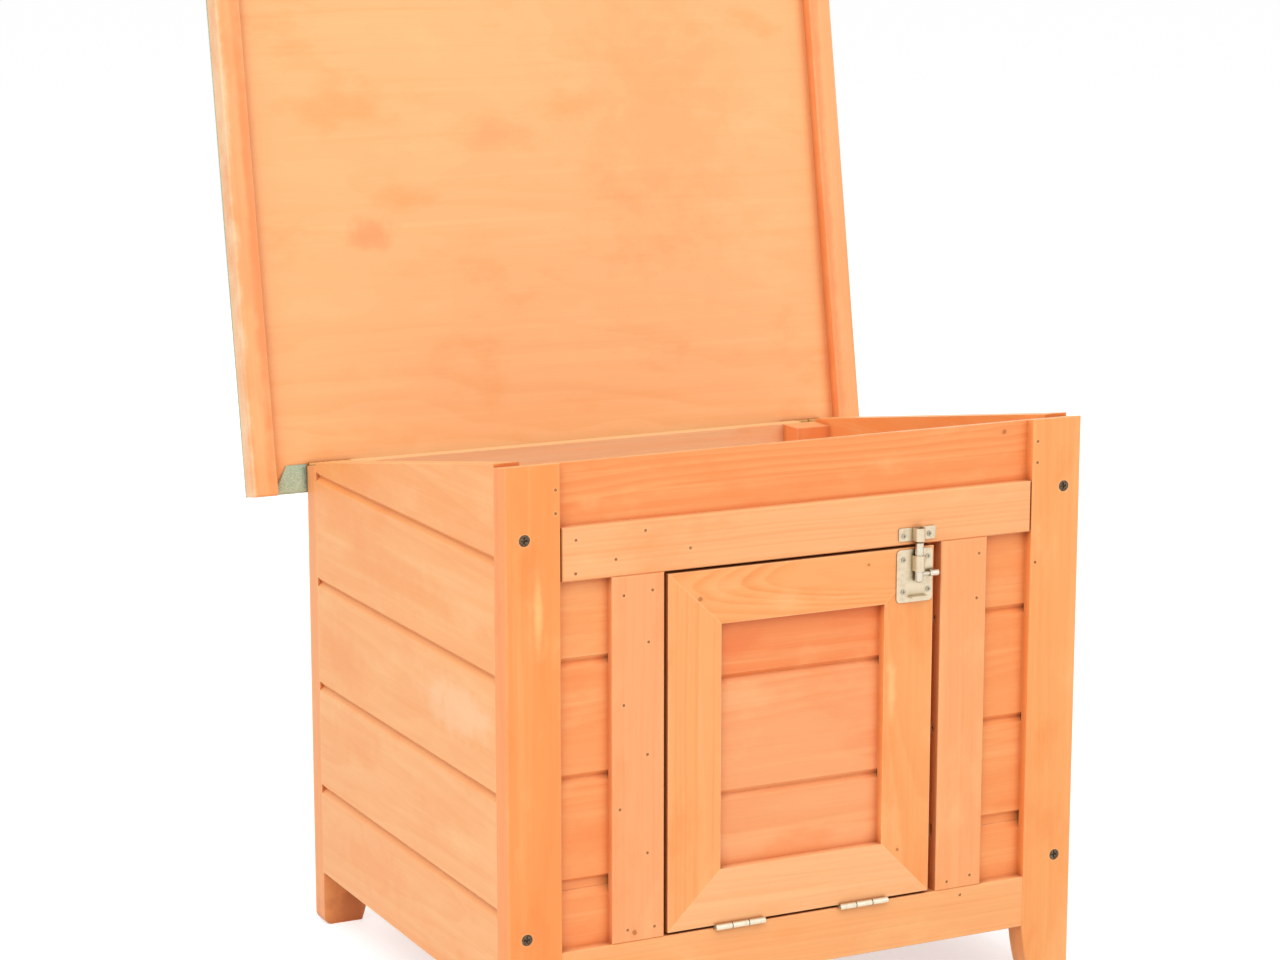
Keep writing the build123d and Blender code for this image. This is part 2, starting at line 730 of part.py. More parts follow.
for row in range(3):
    low, high = door_edges[row], door_edges[row + 1]
    section = board_points(
        BOARD_FACE,
        1,
        DOOR_BACK - BOARD_FACE,
        low,
        high,
        TONGUE_HIGH if row < 2 else 0,
        GROOVE_HIGH if row > 0 else 0,
        BEVEL_HIGH if row > 0 else 0,
        BEVEL_HIGH if row < 2 else 0,
    )
    with BuildPart() as door_board:
        board_along_x((DOOR_LEFT, DOOR_RIGHT), section)
        if row == 0:
            with BuildSketch(Plane.XY.offset(DOOR_BOTTOM)):
                with Locations(*DOOR_LEAF_SPOTS):
                    Circle(SMALL_SHANK + SCREW_PLAY)
            extrude(amount=SMALL_LONG + SCREW_PLAY, mode=Mode.SUBTRACT)
    save(f"door_board_{row + 1}", door_board.part)


# Hinges. Each half is drawn on a plane whose x is along the pin, whose y is the way its leaf runs,
# and whose z points at the wood that the leaf lies on. The pin's middle is at the plane's origin.


def hinge_half(base, at, wide, edges, long, fixed, spots):
    """Both hinges' fixed halves with middle knuckle and pin, or moving halves with outer knuckles."""
    third = wide / 3
    clear = KNUCKLE + KNUCKLE_PLAY
    near = 0 if edges[0] > PIN + PIN_PLAY else PIN + PIN_PLAY + KNUCKLE_PLAY
    knuckle_long = third - 2 * KNUCKLE_PLAY
    shifts = (0,) if fixed else (-third, third)
    with BuildPart() as piece:
        for centre in (-at, at):
            with BuildSketch(base.offset(edges[0])):
                with Locations((centre, (clear + long) / 2)):
                    Rectangle(wide, long - clear)
                for shift in shifts:
                    with Locations((centre + shift, (near + clear) / 2)):
                        Rectangle(knuckle_long, clear - near)
            extrude(amount=span(edges))
            for shift in shifts:
                start = base.from_local_coords((centre + shift - knuckle_long / 2, 0, 0))
                with BuildSketch(Plane(start, x_dir=base.y_dir, z_dir=base.x_dir)):
                    Circle(KNUCKLE)
                    if not fixed:
                        Circle(PIN + PIN_PLAY, mode=Mode.SUBTRACT)
                extrude(amount=knuckle_long)
            if fixed:
                start = base.from_local_coords((centre - wide / 2, 0, 0))
                with BuildSketch(Plane(start, x_dir=base.y_dir, z_dir=base.x_dir)):
                    Circle(PIN)
                extrude(amount=wide)
        with BuildSketch(base.offset(edges[0])):
            with Locations(*spots):
                Circle(SMALL_HEAD + SCREW_PLAY)
        extrude(amount=span(edges), mode=Mode.SUBTRACT)
    return piece.part


def leaf_screws(base, edges, spots):
    """Flat-headed screws that fill a leaf's holes, in the open part builder."""
    with BuildSketch(base.offset(edges[0])) as outline:
        with Locations(*spots):
            Circle(SMALL_HEAD)
    extrude(outline.sketch, amount=span(edges))
    with BuildSketch(base.offset(edges[1])) as outline:
        with Locations(*spots):
            Circle(SMALL_SHANK)
    extrude(outline.sketch, amount=SMALL_LONG)


WALL_BASE = Plane(origin=(0, LID_PIVOT_Y, LID_PIVOT_Z), x_dir=(-1, 0, 0), z_dir=(0, -1, 0))
LID_BASE = Plane(origin=(0, LID_PIVOT_Y, LID_PIVOT_Z), x_dir=(1, 0, 0), z_dir=LID_PLANE.z_dir)
RAIL_BASE = Plane(origin=(0, DOOR_PIVOT_Y, DOOR_PIVOT_HEIGHT), x_dir=(-1, 0, 0), z_dir=(0, 0, -1))
DOOR_BASE = Plane(origin=(0, DOOR_PIVOT_Y, DOOR_PIVOT_HEIGHT), x_dir=(1, 0, 0), z_dir=(0, 0, 1))
WALL_LEAF = (LID_PIVOT_OUT - LEAF, LID_PIVOT_OUT)
LID_LEAF = (LID_UNDER - LEAF, LID_UNDER)
RAIL_LEAF = (DOOR_PIVOT_HEIGHT - RAIL_TOP - LEAF, DOOR_PIVOT_HEIGHT - RAIL_TOP)
DOOR_LEAF = (DOOR_BOTTOM - DOOR_PIVOT_HEIGHT - LEAF, DOOR_BOTTOM - DOOR_PIVOT_HEIGHT)

lid_spots = hinge_spots(LID_HINGE_AT, LID_HINGE_WIDE, LID_LEAF_SCREW)
door_spots = hinge_spots(DOOR_HINGE_AT, DOOR_HINGE_WIDE, DOOR_LEAF_SCREW)

LID_HINGE = (LID_HINGE_AT, LID_HINGE_WIDE)
DOOR_HINGE = (DOOR_HINGE_AT, DOOR_HINGE_WIDE)
wall_half = hinge_half(WALL_BASE, *LID_HINGE, WALL_LEAF, LID_LEAF_LONG, True, lid_spots)
save("lid_hinge_wall_half", wall_half)
lid_half = hinge_half(LID_BASE, *LID_HINGE, LID_LEAF, LID_LEAF_LONG, False, lid_spots)
save("lid_hinge_lid_half", lid_half)
rail_half = hinge_half(RAIL_BASE, *DOOR_HINGE, RAIL_LEAF, DOOR_LEAF_END, True, door_spots)
save("door_hinge_rail_half", rail_half)
door_half = hinge_half(DOOR_BASE, *DOOR_HINGE, DOOR_LEAF, DOOR_LEAF_END, False, door_spots)
save("door_hinge_door_half", door_half)


# Lid, open on its stop


def lid_side(x):
    """The plane of a section through the lid: its x runs up the lid and its y out of the top."""
    at = (LID_SHIFT + x, LID_PIVOT_Y, LID_PIVOT_Z)
    return Plane(at, x_dir=LID_PLANE.y_dir, z_dir=(-1, 0, 0))


LID_HALF = LID_WIDTH / 2
STRIP_INNER = LID_HALF - LID_STRIP
LID_TOP = LID_UNDER + LID_PANEL
LID_ALONG = (-LID_OVERHANG, LID_FRONT_END)
PANEL_ALONG = (FELT - LID_OVERHANG, LID_FRONT_END - FELT)
STRIP_UNDER = LID_UNDER - LID_STRIP_HANG

with BuildPart() as lid_panel:
    lid_block((-STRIP_INNER, STRIP_INNER), PANEL_ALONG, (LID_UNDER, LID_TOP))
    with BuildSketch(LID_BASE.offset(LID_UNDER)):
        with Locations(*lid_spots):
            Circle(SMALL_SHANK + SCREW_PLAY)
    extrude(amount=SMALL_LONG + SCREW_PLAY, mode=Mode.SUBTRACT)
save("lid_panel", lid_panel.part)

for side, side_name in ((-1, "left"), (1, "right")):
    outer_x = max(side * STRIP_INNER, side * LID_HALF)
    with BuildPart() as strip:
        with BuildSketch(lid_side(outer_x)) as strip_sketch:
            with Locations((mid(LID_ALONG), (STRIP_UNDER + LID_TOP) / 2)):
                Rectangle(span(LID_ALONG), LID_TOP - STRIP_UNDER)
            fillet(strip_sketch.vertices().group_by(Axis.Y)[0], radius=STRIP_END_ROUND)
        extrude(amount=LID_STRIP)
        chamfer(strip.edges().filter_by(Axis(LID_PLANE.origin, LID_PLANE.y_dir)), length=ARRIS)
    save(f"lid_strip_{side_name}", strip.part)

FELT_HALF = STRIP_INNER - FELT_SIDE_PLAY
FLAP_OUT = (LID_UNDER - FELT, LID_UNDER)

with BuildPart() as felt:
    lid_block((-LID_HALF, LID_HALF), LID_ALONG, (LID_TOP, LID_TOP + FELT))
    for end, inward in ((-LID_OVERHANG, 1), (LID_FRONT_END, -1)):
        fold = sorted((end, end + inward * FELT))
        lid_block((-FELT_HALF, FELT_HALF), fold, (FLAP_OUT[0], LID_TOP + FELT))
        with BuildSketch(LID_PLANE.offset(FLAP_OUT[0])):
            with BuildLine():
                Polyline(
                    (-FELT_HALF, end),
                    (FELT_HALF, end),
                    (FELT_HALF - FELT_CORNER, end + inward * FELT_FLAP),
                    (-FELT_HALF + FELT_CORNER, end + inward * FELT_FLAP),
                    close=True,
                )
            make_face()
        extrude(amount=FELT)
    notch_half = LID_HINGE_WIDE / 2 + FELT_NOTCH_PLAY
    for centre in (LID_SHIFT - LID_HINGE_AT, LID_SHIFT + LID_HINGE_AT):
        lid_block(
            (centre - notch_half, centre + notch_half),
            (-LID_OVERHANG - FELT, FELT_FLAP),
            FLAP_OUT,
            Mode.SUBTRACT,
        )
save("lid_felt", felt.part)

with BuildPart() as lid_screws:
    leaf_screws(LID_BASE, LID_LEAF, lid_spots)
save("lid_screws", lid_screws.part)


# Bolt and keeper


def strap(low, high):
    """A raised half-round strap over the bolt's rod, in the open part builder."""
    with BuildSketch(Plane.XY.offset(low)) as outline:
        for radius, mode in ((STRAP_OUTER, Mode.ADD), (STRAP_INNER, Mode.SUBTRACT)):
            with Locations((BOLT_X, ROD_Y)):
                Circle(radius, mode=mode)
            with Locations((BOLT_X, (ROD_Y + PLATE_FACE) / 2)):
                Rectangle(2 * radius, PLATE_FACE - ROD_Y, mode=mode)
    extrude(outline.sketch, amount=high - low)


def sheet_plate(x, z, spots):
    """A thin plate on the front face with rounded corners and screw holes, in the open builder."""
    with BuildSketch(Plane.XZ.offset(-FACE)) as outline:
        with Locations((mid(x), mid(z))):
            RectangleRounded(span(x), span(z), PLATE_ROUND / 2 if span(z) < span(x) else PLATE_ROUND)
        with Locations(*spots):
            Circle(SMALL_SHANK + SCREW_PLAY, mode=Mode.SUBTRACT)
    extrude(outline.sketch, amount=PLATE)


with BuildPart() as keeper:
    sheet_plate((KEEPER_LEFT, KEEPER_RIGHT), (KEEPER_BOTTOM, KEEPER_TOP), keeper_spots)
    strap(KEEPER_BOTTOM, KEEPER_TOP)
save("bolt_keeper", keeper.part)

with BuildPart() as bolt_plate:
    sheet_plate((BOLT_PLATE_LEFT, BOLT_PLATE_RIGHT), (BOLT_PLATE_BOTTOM, BOLT_PLATE_TOP), bolt_spots)
    strap(STRAP_BOTTOM, STRAP_TOP)
    block(
        (BOLT_X - TAB_WIDE / 2, BOLT_X + TAB_WIDE / 2),
        (PLATE_FACE - TAB_OUT, PLATE_FACE),
        (TAB_TOP - PLATE, TAB_TOP),
    )
    notch_half = KNOB_NECK + NOTCH_PLAY
    block(
        (BOLT_X, BOLT_X + STRAP_OUTER),
        (ROD_Y - notch_half, ROD_Y + notch_half),
        (STRAP_BOTTOM, KNOB_HEIGHT + BOLT_UP + notch_half),
        Mode.SUBTRACT,
    )
save("bolt_plate", bolt_plate.part)

with BuildPart() as rod:
    with BuildSketch(Plane.XY.offset(ROD_END)):
        with Locations((BOLT_X, ROD_Y)):
            Circle(ROD)
    extrude(amount=ROD_TIP - ROD_END)
    chamfer(rod.edges().filter_by(GeomType.CIRCLE), length=ARRIS)
    for low, high, radius in (
        (BOLT_X, KNOB_HEAD_LEFT, KNOB_NECK),
        (KNOB_HEAD_LEFT, KNOB_HEAD_RIGHT, KNOB_HEAD),
    ):
        with BuildSketch(Plane.YZ.offset(low)):
            with Locations((ROD_Y, KNOB_HEIGHT)):
                Circle(radius)
        extrude(amount=high - low)
    fillet(rod.edges().filter_by(GeomType.CIRCLE).sort_by(Axis.X)[-1], radius=ARRIS)
save("bolt_rod", rod.part)


# Fasteners


def cross_recess(spots, face_y, inward, radius):
    """Cross slots in screw heads, in the open part builder."""
    with BuildSketch(Plane.XZ.offset(-face_y)) as outline:
        with Locations(*spots):
            Rectangle(CROSS_LONG * radius, CROSS_WIDE * radius)
            Rectangle(CROSS_WIDE * radius, CROSS_LONG * radius)
    extrude(outline.sketch, amount=-inward * CROSS_DEEP * radius, mode=Mode.SUBTRACT)


with BuildPart() as post_screws:
    for face, inward, heights in (
        (FRONT, 1, POST_SCREW_HEIGHTS),
        (BACK, -1, BACK_SCREW_HEIGHTS),
    ):
        spots = [(side * POST_SCREW_X, height) for side in (-1, 1) for height in heights]
        head_y = face + inward * POST_SCREW_SUNK
        with BuildSketch(Plane.XZ.offset(-head_y)):
            with Locations(*spots):
                Circle(POST_SCREW_HEAD)
        extrude(amount=-inward * POST_SCREW_HEAD_DEEP)
        with BuildSketch(Plane.XZ.offset(-head_y)):
            with Locations(*spots):
                Circle(POST_SCREW_SHANK)
        extrude(amount=-inward * POST_SCREW_LONG)
        cross_recess(spots, head_y, inward, POST_SCREW_HEAD)
save("post_screws", post_screws.part)


def brad_set(spots, face_y):
    """Small nails sunk just under a front face, in the open part builder."""
    with BuildSketch(Plane.XZ.offset(-face_y - BRAD_SUNK)) as outline:
        with Locations(*spots):
            Circle(BRAD)
    extrude(outline.sketch, amount=-(BRAD_LONG - BRAD_SUNK))


with BuildPart() as brads:
    brad_set(post_brads, FRONT)
    batten_brads = top_batten_brads + left_batten_brads + right_batten_brads
    brad_set(batten_brads + rail_brads, FACE)
save("brads", brads.part)


def plate_screws(spots):
    """Round-headed screws through a plate into the wood behind it, in the open part builder."""
    with BuildSketch(Plane.XZ.offset(-PLATE_FACE)) as outline:
        with Locations(*spots):
            Circle(SMALL_HEAD)
    extrude(outline.sketch, amount=SMALL_HEAD_PROUD)
    with BuildSketch(Plane.XZ.offset(-PLATE_FACE)) as outline:
        with Locations(*spots):
            Circle(SMALL_SHANK)
    extrude(outline.sketch, amount=-(PLATE + SMALL_LONG))
    cross_recess(spots, PLATE_FACE - SMALL_HEAD_PROUD, 1, SMALL_HEAD)


with BuildPart() as house_screws:
    leaf_screws(WALL_BASE, WALL_LEAF, lid_spots)
    leaf_screws(RAIL_BASE, RAIL_LEAF, door_spots)
    plate_screws(keeper_spots)
save("house_small_screws", house_screws.part)

with BuildPart() as door_screws:
    leaf_screws(DOOR_BASE, DOOR_LEAF, door_spots)
    plate_screws(bolt_spots)
save("door_small_screws", door_screws.part)
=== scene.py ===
"""Looks of the cat house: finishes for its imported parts, the roofing felt, camera, floor and light.

Lengths are metres. Material patterns are worked out in millimetres, in each board's own directions.
Colours are written as red, green and blue from 0 to 255, as on a screen.
"""

import math
import random

import bmesh
import bpy
from mathutils import Matrix, Vector

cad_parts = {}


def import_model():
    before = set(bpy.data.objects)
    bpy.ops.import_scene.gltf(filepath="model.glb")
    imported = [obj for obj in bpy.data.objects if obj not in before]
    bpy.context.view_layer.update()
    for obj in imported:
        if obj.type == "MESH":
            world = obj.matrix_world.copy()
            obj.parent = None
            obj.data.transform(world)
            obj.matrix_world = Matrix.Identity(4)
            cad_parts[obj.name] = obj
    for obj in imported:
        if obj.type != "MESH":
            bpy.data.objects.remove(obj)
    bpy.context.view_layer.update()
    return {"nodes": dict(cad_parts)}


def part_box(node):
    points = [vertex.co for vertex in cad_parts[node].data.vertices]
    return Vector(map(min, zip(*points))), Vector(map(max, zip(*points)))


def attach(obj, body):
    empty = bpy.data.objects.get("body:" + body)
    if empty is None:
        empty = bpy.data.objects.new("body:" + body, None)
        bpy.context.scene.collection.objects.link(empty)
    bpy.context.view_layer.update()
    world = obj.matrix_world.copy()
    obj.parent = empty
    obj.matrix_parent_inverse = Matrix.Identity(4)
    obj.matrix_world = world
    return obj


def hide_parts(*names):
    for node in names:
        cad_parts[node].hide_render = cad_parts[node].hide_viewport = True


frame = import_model()

MM = 0.001
SEED = 20
SEED_REACH = 4000

# The lid at rest: degrees past upright, and a point on its hinges' axis.
LID_LEAN = 9.7
LID_PIVOT = Vector((0.0, 0.136759, 0.340356))

# Felt on the lid, in mm on the lid's own axes: across, along from the pivot, and out.
FELT_THICK = 1.4
FELT_UNDER = 10.3
FELT_LOW = -19.5
FELT_HIGH = 440.5
FELT_HALF = 250.0
FELT_BEND = 1.6
FELT_NOTCHES = ((-206.0, -170.0), (184.0, 220.0))
FLAP_HALF = 231.5
FLAP_LONG = 20.5
FLAP_CORNER = 10.5
FLAP_INNER = 1.1
# Past this place across, a flap's columns are drawn in where its corners are cut.
CORNER_START = 220.0
# Rows and columns of the felt's mesh.
FLAP_STEPS = 8
BEND_STEPS = 4
END_ROWS = 4
MAIN_STEP = 4.0
INNER_COLUMNS = 116
OUTER_COLUMNS = 5
# The felt's unevenness: how many waves, their rate per mm, turn and height in mm.
WAVE_COUNT = 7
WAVE_RATE = (0.008, 0.03)
WAVE_TURN = (0, 6.28)
WAVE_HEIGHT = (0.04, 0.10)

# How fast the wood's patterns change along and across the grain, per mm.
WANDER_SCALE = (0.0035, 0.011)
JITTER_SCALE = (0.012, 0.10)
FIBRE_SCALE = (0.018, 1.1)
STREAK_SCALE = (0.0022, 0.085)
BLOTCH_SCALE = (0.011, 0.022)
PORE_SCALE = (0.05, 1.7)
SEASON_SCALE = 0.055
# How far the rings are pushed by small unevenness and by good and bad years, in mm.
JITTER_REACH = 2.2
SEASON_REACH = 26.0

# Late wood and soaked places, as shares of a board's own colour.
LATE_TINT = (0.93, 0.70, 0.50)
DEEP_TINT = (0.97, 0.76, 0.58)
PALE_WOOD = (255, 206, 142)
# Painted light on faces turned upwards.
PAINTED_TOP_LIGHT = (255, 208, 150)
# Lighter arrises: wear with a painted highlight.
EDGE_WEAR_AND_HIGHLIGHT = (255, 211, 152)
KNOT_CORE = (168, 92, 44)
# Painted shade in grooves and recesses.
PAINTED_GROOVE_SHADE = (192, 98, 46)
# Painted shade, darker still, in narrow gaps.
PAINTED_GAP_SHADE = (132, 64, 22)
EDGE_RADIUS = 1.3 * MM
GROOVE_REACH = 12 * MM
WOOD_ROUGH = 0.46
WOOD_IOR = 1.45
GRAIN_HEIGHT = 0.07 * MM
PAINTED_METAL_CORNER_SHADE = (96, 82, 58)
METAL_CORNER_REACH = 3 * MM

# How strongly single fibres show, how strongly the side walls' grooves take painted shade, and how
# strongly the plywood's edges are lightened by wear and a painted highlight, beside other boards.
PLANK_FIBRES = 0.16
SIDE_FIBRES = 0.09
VENEER_FIBRES = 0.07
SIDE_GAP = 1.15
VENEER_EDGE = 0.8

# Floor, world and lamps.
FLOOR_HALF = 40.0
FLOOR_GREY = (0.80, 0.80, 0.80, 1)
FLOOR_SEEN_GREY = (0.72, 0.72, 0.72, 1)
FLOOR_GLOW = 0.58
WHITE = (1, 1, 1, 1)
WORLD_SEEN = 1.0
WORLD_LIGHT = 0.57
LAMP_AIM = (0.0, -0.05, 0.35)
# Each lamp's place, width in metres and power in watts.
LAMPS = {
    "key": ((-1.6, -2.2, 2.6), 2.2, 52),
    "side": ((-2.9, -0.3, 1.3), 1.6, 11),
    "fill": ((1.8, -2.8, 1.3), 2.0, 11),
    "top": ((0.2, -1.3, 3.0), 2.0, 12),
    "back": ((1.0, 2.9, 2.0), 2.2, 22),
}

# Camera: its place, degrees turned right of straight ahead, degrees down, and lens in mm.
CAMERA_PLACE = (-0.9867, -1.9679, 0.7623)
CAMERA_YAW = 26.49
CAMERA_PITCH = 10.97
CAMERA_LENS = 88.65
CAMERA_SENSOR = 36.0


def linear(colour):
    """A screen colour as a shader takes it."""
    parts = [c / 255 for c in colour]
    curved = [c / 12.92 if c <= 0.04045 else ((c + 0.055) / 1.055) ** 2.4 for c in parts]
    return tuple(curved) + (1.0,)


# Node trees


class Net:
    """Short calls that add nodes to one tree."""

    def __init__(self, tree):
        self.tree = tree

    def put(self, socket, value):
        if isinstance(value, bpy.types.NodeSocket):
            self.tree.links.new(value, socket)
        elif value is not None:
            socket.default_value = value

    def add(self, kind, inputs=None, **settings):
        node = self.tree.nodes.new(kind)
        for name, value in settings.items():
            setattr(node, name, value)
        for name, value in (inputs or {}).items():
            self.put(node.inputs[name], value)
        return node

    def math(self, operation, *values):
        node = self.add("ShaderNodeMath", operation=operation)
        for socket, value in zip(node.inputs, values):
            self.put(socket, value)
        return node.outputs[0]

    def vector(self, operation, a, b=None, scale=None):
        node = self.add("ShaderNodeVectorMath", operation=operation)
        self.put(node.inputs[0], a)
        self.put(node.inputs[1], b)
        if scale is not None:
            self.put(node.inputs["Scale"], scale)
        return node.outputs["Value" if operation in ("DOT_PRODUCT", "LENGTH") else "Vector"]

    def mix(self, share, a, b):
        """A colour from a to b. A mix node's colour sockets are its 7th, 8th and 3rd."""
        node = self.add("ShaderNodeMix", data_type="RGBA", clamp_factor=True)
        self.put(node.inputs[0], share)
        self.put(node.inputs[6], a)
        self.put(node.inputs[7], b)
        return node.outputs[2]

    def ramp(self, value, low, high, to_low=0.0, to_high=1.0):
        """A smooth step from to_low to to_high as value goes from low to high."""
        node = self.add("ShaderNodeMapRange", {
            "Value": value, "From Min": low, "From Max": high, "To Min": to_low, "To Max": to_high,
        }, interpolation_type="SMOOTHSTEP")
        return node.outputs[0]

    def noise(self, place, scale=1.0, detail=2.0, rough=0.5, output="Fac"):
        node = self.add("ShaderNodeTexNoise", {
            "Vector": place, "Scale": scale, "Detail": detail, "Roughness": rough,
        }, noise_dimensions="3D")
        return node.outputs[output]

    def stretched(self, place, scales, shift):
        """The place scaled for a pattern that runs along the grain."""
        along, across = scales
        return self.vector("MULTIPLY", self.vector("ADD", place, shift), (along, across, across))

    def object_mm(self):
        """Place in the object's own frame, in mm."""
        place = self.add("ShaderNodeTexCoord").outputs["Object"]
        return self.vector("SCALE", place, scale=1 / MM)

    def openness(self, reach, samples):
        """1 in the open, down to 0 deep in a gap narrower than reach."""
        node = self.add("ShaderNodeAmbientOcclusion", {"Distance": reach}, samples=samples)
        return node.outputs["AO"]

    def bump(self, height, distance, strength):
        node = self.add("ShaderNodeBump",
                        {"Height": height, "Distance": distance, "Strength": strength})
        return node.outputs[0]

    def surface(self, colour, rough, normal, **fixed):
        """The shader and the material's output."""
        shader = self.add("ShaderNodeBsdfPrincipled",
                          {"Base Color": colour, "Roughness": rough, "Normal": normal, **fixed})
        self.add("ShaderNodeOutputMaterial", {"Surface": shader.outputs[0]})

    def seen_straight(self):
        """1 for what the camera, a reflection or a clear surface shows, 0 for light cast on."""
        path = self.add("ShaderNodeLightPath").outputs
        reflected = self.math("MAXIMUM", path["Is Camera Ray"], path["Is Glossy Ray"])
        return self.math("MAXIMUM", reflected, path["Is Transmission Ray"])

    def mix_shaders(self, share, a, b):
        node = self.add("ShaderNodeMixShader")
        for socket, value in zip(node.inputs, (share, a.outputs[0], b.outputs[0])):
            self.put(socket, value)
        return node.outputs[0]


def group(name, inputs, outputs):
    """A node group with its sockets, and the net to fill it with."""
    tree = bpy.data.node_groups.new(name, "ShaderNodeTree")
    for socket, kind, default in inputs:
        kind = "NodeSocket" + kind
        made = tree.interface.new_socket(socket, in_out="INPUT", socket_type=kind)
        made.default_value = default
    for socket, kind in outputs:
        kind = "NodeSocket" + kind
        tree.interface.new_socket(socket, in_out="OUTPUT", socket_type=kind)
    net = Net(tree)
    return tree, net, net.add("NodeGroupInput").outputs, net.add("NodeGroupOutput").inputs


def wood_group():
    """Stained softwood: growth rings round a leaning heart, fibres, streaks and stain blotches."""
    tree, net, given, result = group(
        "stained_wood",
        (
            ("Place", "Vector", (0, 0, 0)),
            ("Seed", "Vector", (0, 0, 0)),
            ("Heart Across", "Float", 0.0),
            ("Heart Deep", "Float", 60.0),
            ("Heart Tilt", "Float", 0.05),
            ("Ring Pitch", "Float", 5.0),
            ("Ring Share", "Float", 0.4),
            ("Wander", "Float", 8.0),
            ("Fine", "Float", 0.08),
            ("Early", "Color", WHITE),
            ("Late", "Color", WHITE),
            ("Pale", "Color", WHITE),
            ("Deep", "Color", WHITE),
        ),
        (("Color", "Color"), ("Height", "Float"), ("Fibre", "Float")),
    )
    place, seed = given["Place"], given["Seed"]

    # Distance from the heart, bent by slow wandering, small unevenness and good and bad years.
    slow = net.noise(net.stretched(place, WANDER_SCALE, seed), 1.0, 2.0, output="Color")
    wander = net.vector("SUBTRACT", slow, (0.5, 0.5, 0.5))
    wander = net.vector("SCALE", wander, scale=net.math("MULTIPLY", given["Wander"], 2.0))
    bent = net.vector("ADD", place, wander)
    split = net.add("ShaderNodeSeparateXYZ", {"Vector": bent}).outputs
    across = net.math("SUBTRACT", split["Y"], given["Heart Across"])
    lean = net.math("MULTIPLY", split["X"], given["Heart Tilt"])
    deep = net.math("ADD", net.math("SUBTRACT", split["Z"], given["Heart Deep"]), lean)
    radius = net.math("SQRT", net.math("ADD", net.math("MULTIPLY", across, across),
                                       net.math("MULTIPLY", deep, deep)))
    jitter = net.noise(net.stretched(place, JITTER_SCALE, seed), 1.0, 3.0)
    radius = net.math("ADD", radius, net.math("MULTIPLY", jitter, JITTER_REACH))
    year = net.add("ShaderNodeCombineXYZ",
                   {"X": net.math("MULTIPLY", radius, SEASON_SCALE), "Y": 3.7}).outputs[0]
    season = net.noise(year, 1.0, 2.0)
    radius = net.math("ADD", radius, net.math("MULTIPLY", season, SEASON_REACH))

    # Each ring darkens slowly to its late wood, ends sharply, and has a strength of its own.
    count = net.math("DIVIDE", radius, given["Ring Pitch"])
    part = net.math("FRACT", count)
    whole = net.math("FLOOR", count)
    strength = net.add("ShaderNodeTexWhiteNoise", {"W": whole}, noise_dimensions="1D")
    late = net.math("MULTIPLY", net.ramp(part, 0.15, 0.86), net.ramp(part, 0.90, 1.0, 1.0, 0.0))
    late = net.math("MULTIPLY", late,
                    net.math("MULTIPLY_ADD", strength.outputs["Value"], 0.9, 0.1))

    fibre = net.noise(net.stretched(place, FIBRE_SCALE, seed), 1.0, 3.0, 0.65)
    streak = net.noise(net.stretched(place, STREAK_SCALE, seed), 1.0, 3.0, 0.6)
    blotch = net.noise(net.stretched(place, BLOTCH_SCALE, seed), 1.0, 4.0, 0.62)
    pore = net.noise(net.stretched(place, PORE_SCALE, seed), 1.0, 1.0)
    colour = net.mix(net.math("MULTIPLY", late, given["Ring Share"]), given["Early"], given["Late"])
    colour = net.mix(net.ramp(streak, 0.52, 0.80, 0.0, 0.55), colour, given["Pale"])
    colour = net.mix(net.ramp(streak, 0.48, 0.20, 0.0, 0.45), colour, given["Deep"])
    colour = net.mix(net.ramp(blotch, 0.53, 0.74, 0.0, 0.62), colour, given["Deep"])
    colour = net.mix(net.ramp(blotch, 0.47, 0.25, 0.0, 0.50), colour, given["Pale"])
    shade = net.math("MULTIPLY_ADD", net.math("SUBTRACT", fibre, 0.5), given["Fine"], 1.0)
    colour = net.vector("SCALE", colour, scale=shade)
    dash = net.ramp(pore, 0.74, 0.82, 0.0, 0.22)
    net.put(result["Color"], net.mix(dash, colour, given["Late"]))
    height = net.math("ADD", net.math("MULTIPLY", late, 0.5), net.math("MULTIPLY", fibre, 0.8))
    net.put(result["Height"], net.math("SUBTRACT", height, dash))
    net.put(result["Fibre"], fibre)
    return tree


def knot_group():
    """One knot: pushes the grain aside round it, and gives masks for its core and its halo."""
    tree, net, given, result = group(
        "knot",
        (("Place", "Vector", (0, 0, 0)), ("Centre", "Vector", (0, 0, 0)), ("Radius", "Float", 4.0)),
        (("Place", "Vector"), ("Core", "Float"), ("Halo", "Float")),
    )
    place, radius = given["Place"], given["Radius"]
    away = net.vector("SUBTRACT", place, given["Centre"])
    uneven = net.noise(net.vector("SCALE", place, scale=0.35), 1.0, 2.0)
    flat = net.vector("MULTIPLY", away, (1.0, 1.0, 0.0))
    distance = net.math("DIVIDE", net.vector("LENGTH", flat), radius)
    distance = net.math("ADD", distance, net.math("MULTIPLY_ADD", uneven, 0.9, -0.45))
    # The halo is longer along the grain than across it.
    long = net.vector("LENGTH", net.vector("MULTIPLY", away, (0.30, 0.62, 0.0)))
    ratio = net.math("DIVIDE", long, radius)
    square = net.math("MULTIPLY", ratio, ratio)
    fall = net.math("EXPONENT", net.math("MULTIPLY", square, -1.0))
    side = net.vector("MULTIPLY", away, (0.0, 1.0, 0.0))
    push = net.vector("SCALE", side, scale=net.math("MULTIPLY", fall, -0.92))
    net.put(result["Place"], net.vector("ADD", place, push))
    net.put(result["Core"], net.ramp(distance, 1.0, 0.55))
    net.put(result["Halo"], net.math("MULTIPLY", fall, fall))
    return tree


WOOD = wood_group()
KNOT = knot_group()


# Materials


def new_material(name):
    material = bpy.data.materials.new(name)
    material.use_nodes = True
    material.node_tree.nodes.clear()
    return material, Net(material.node_tree)


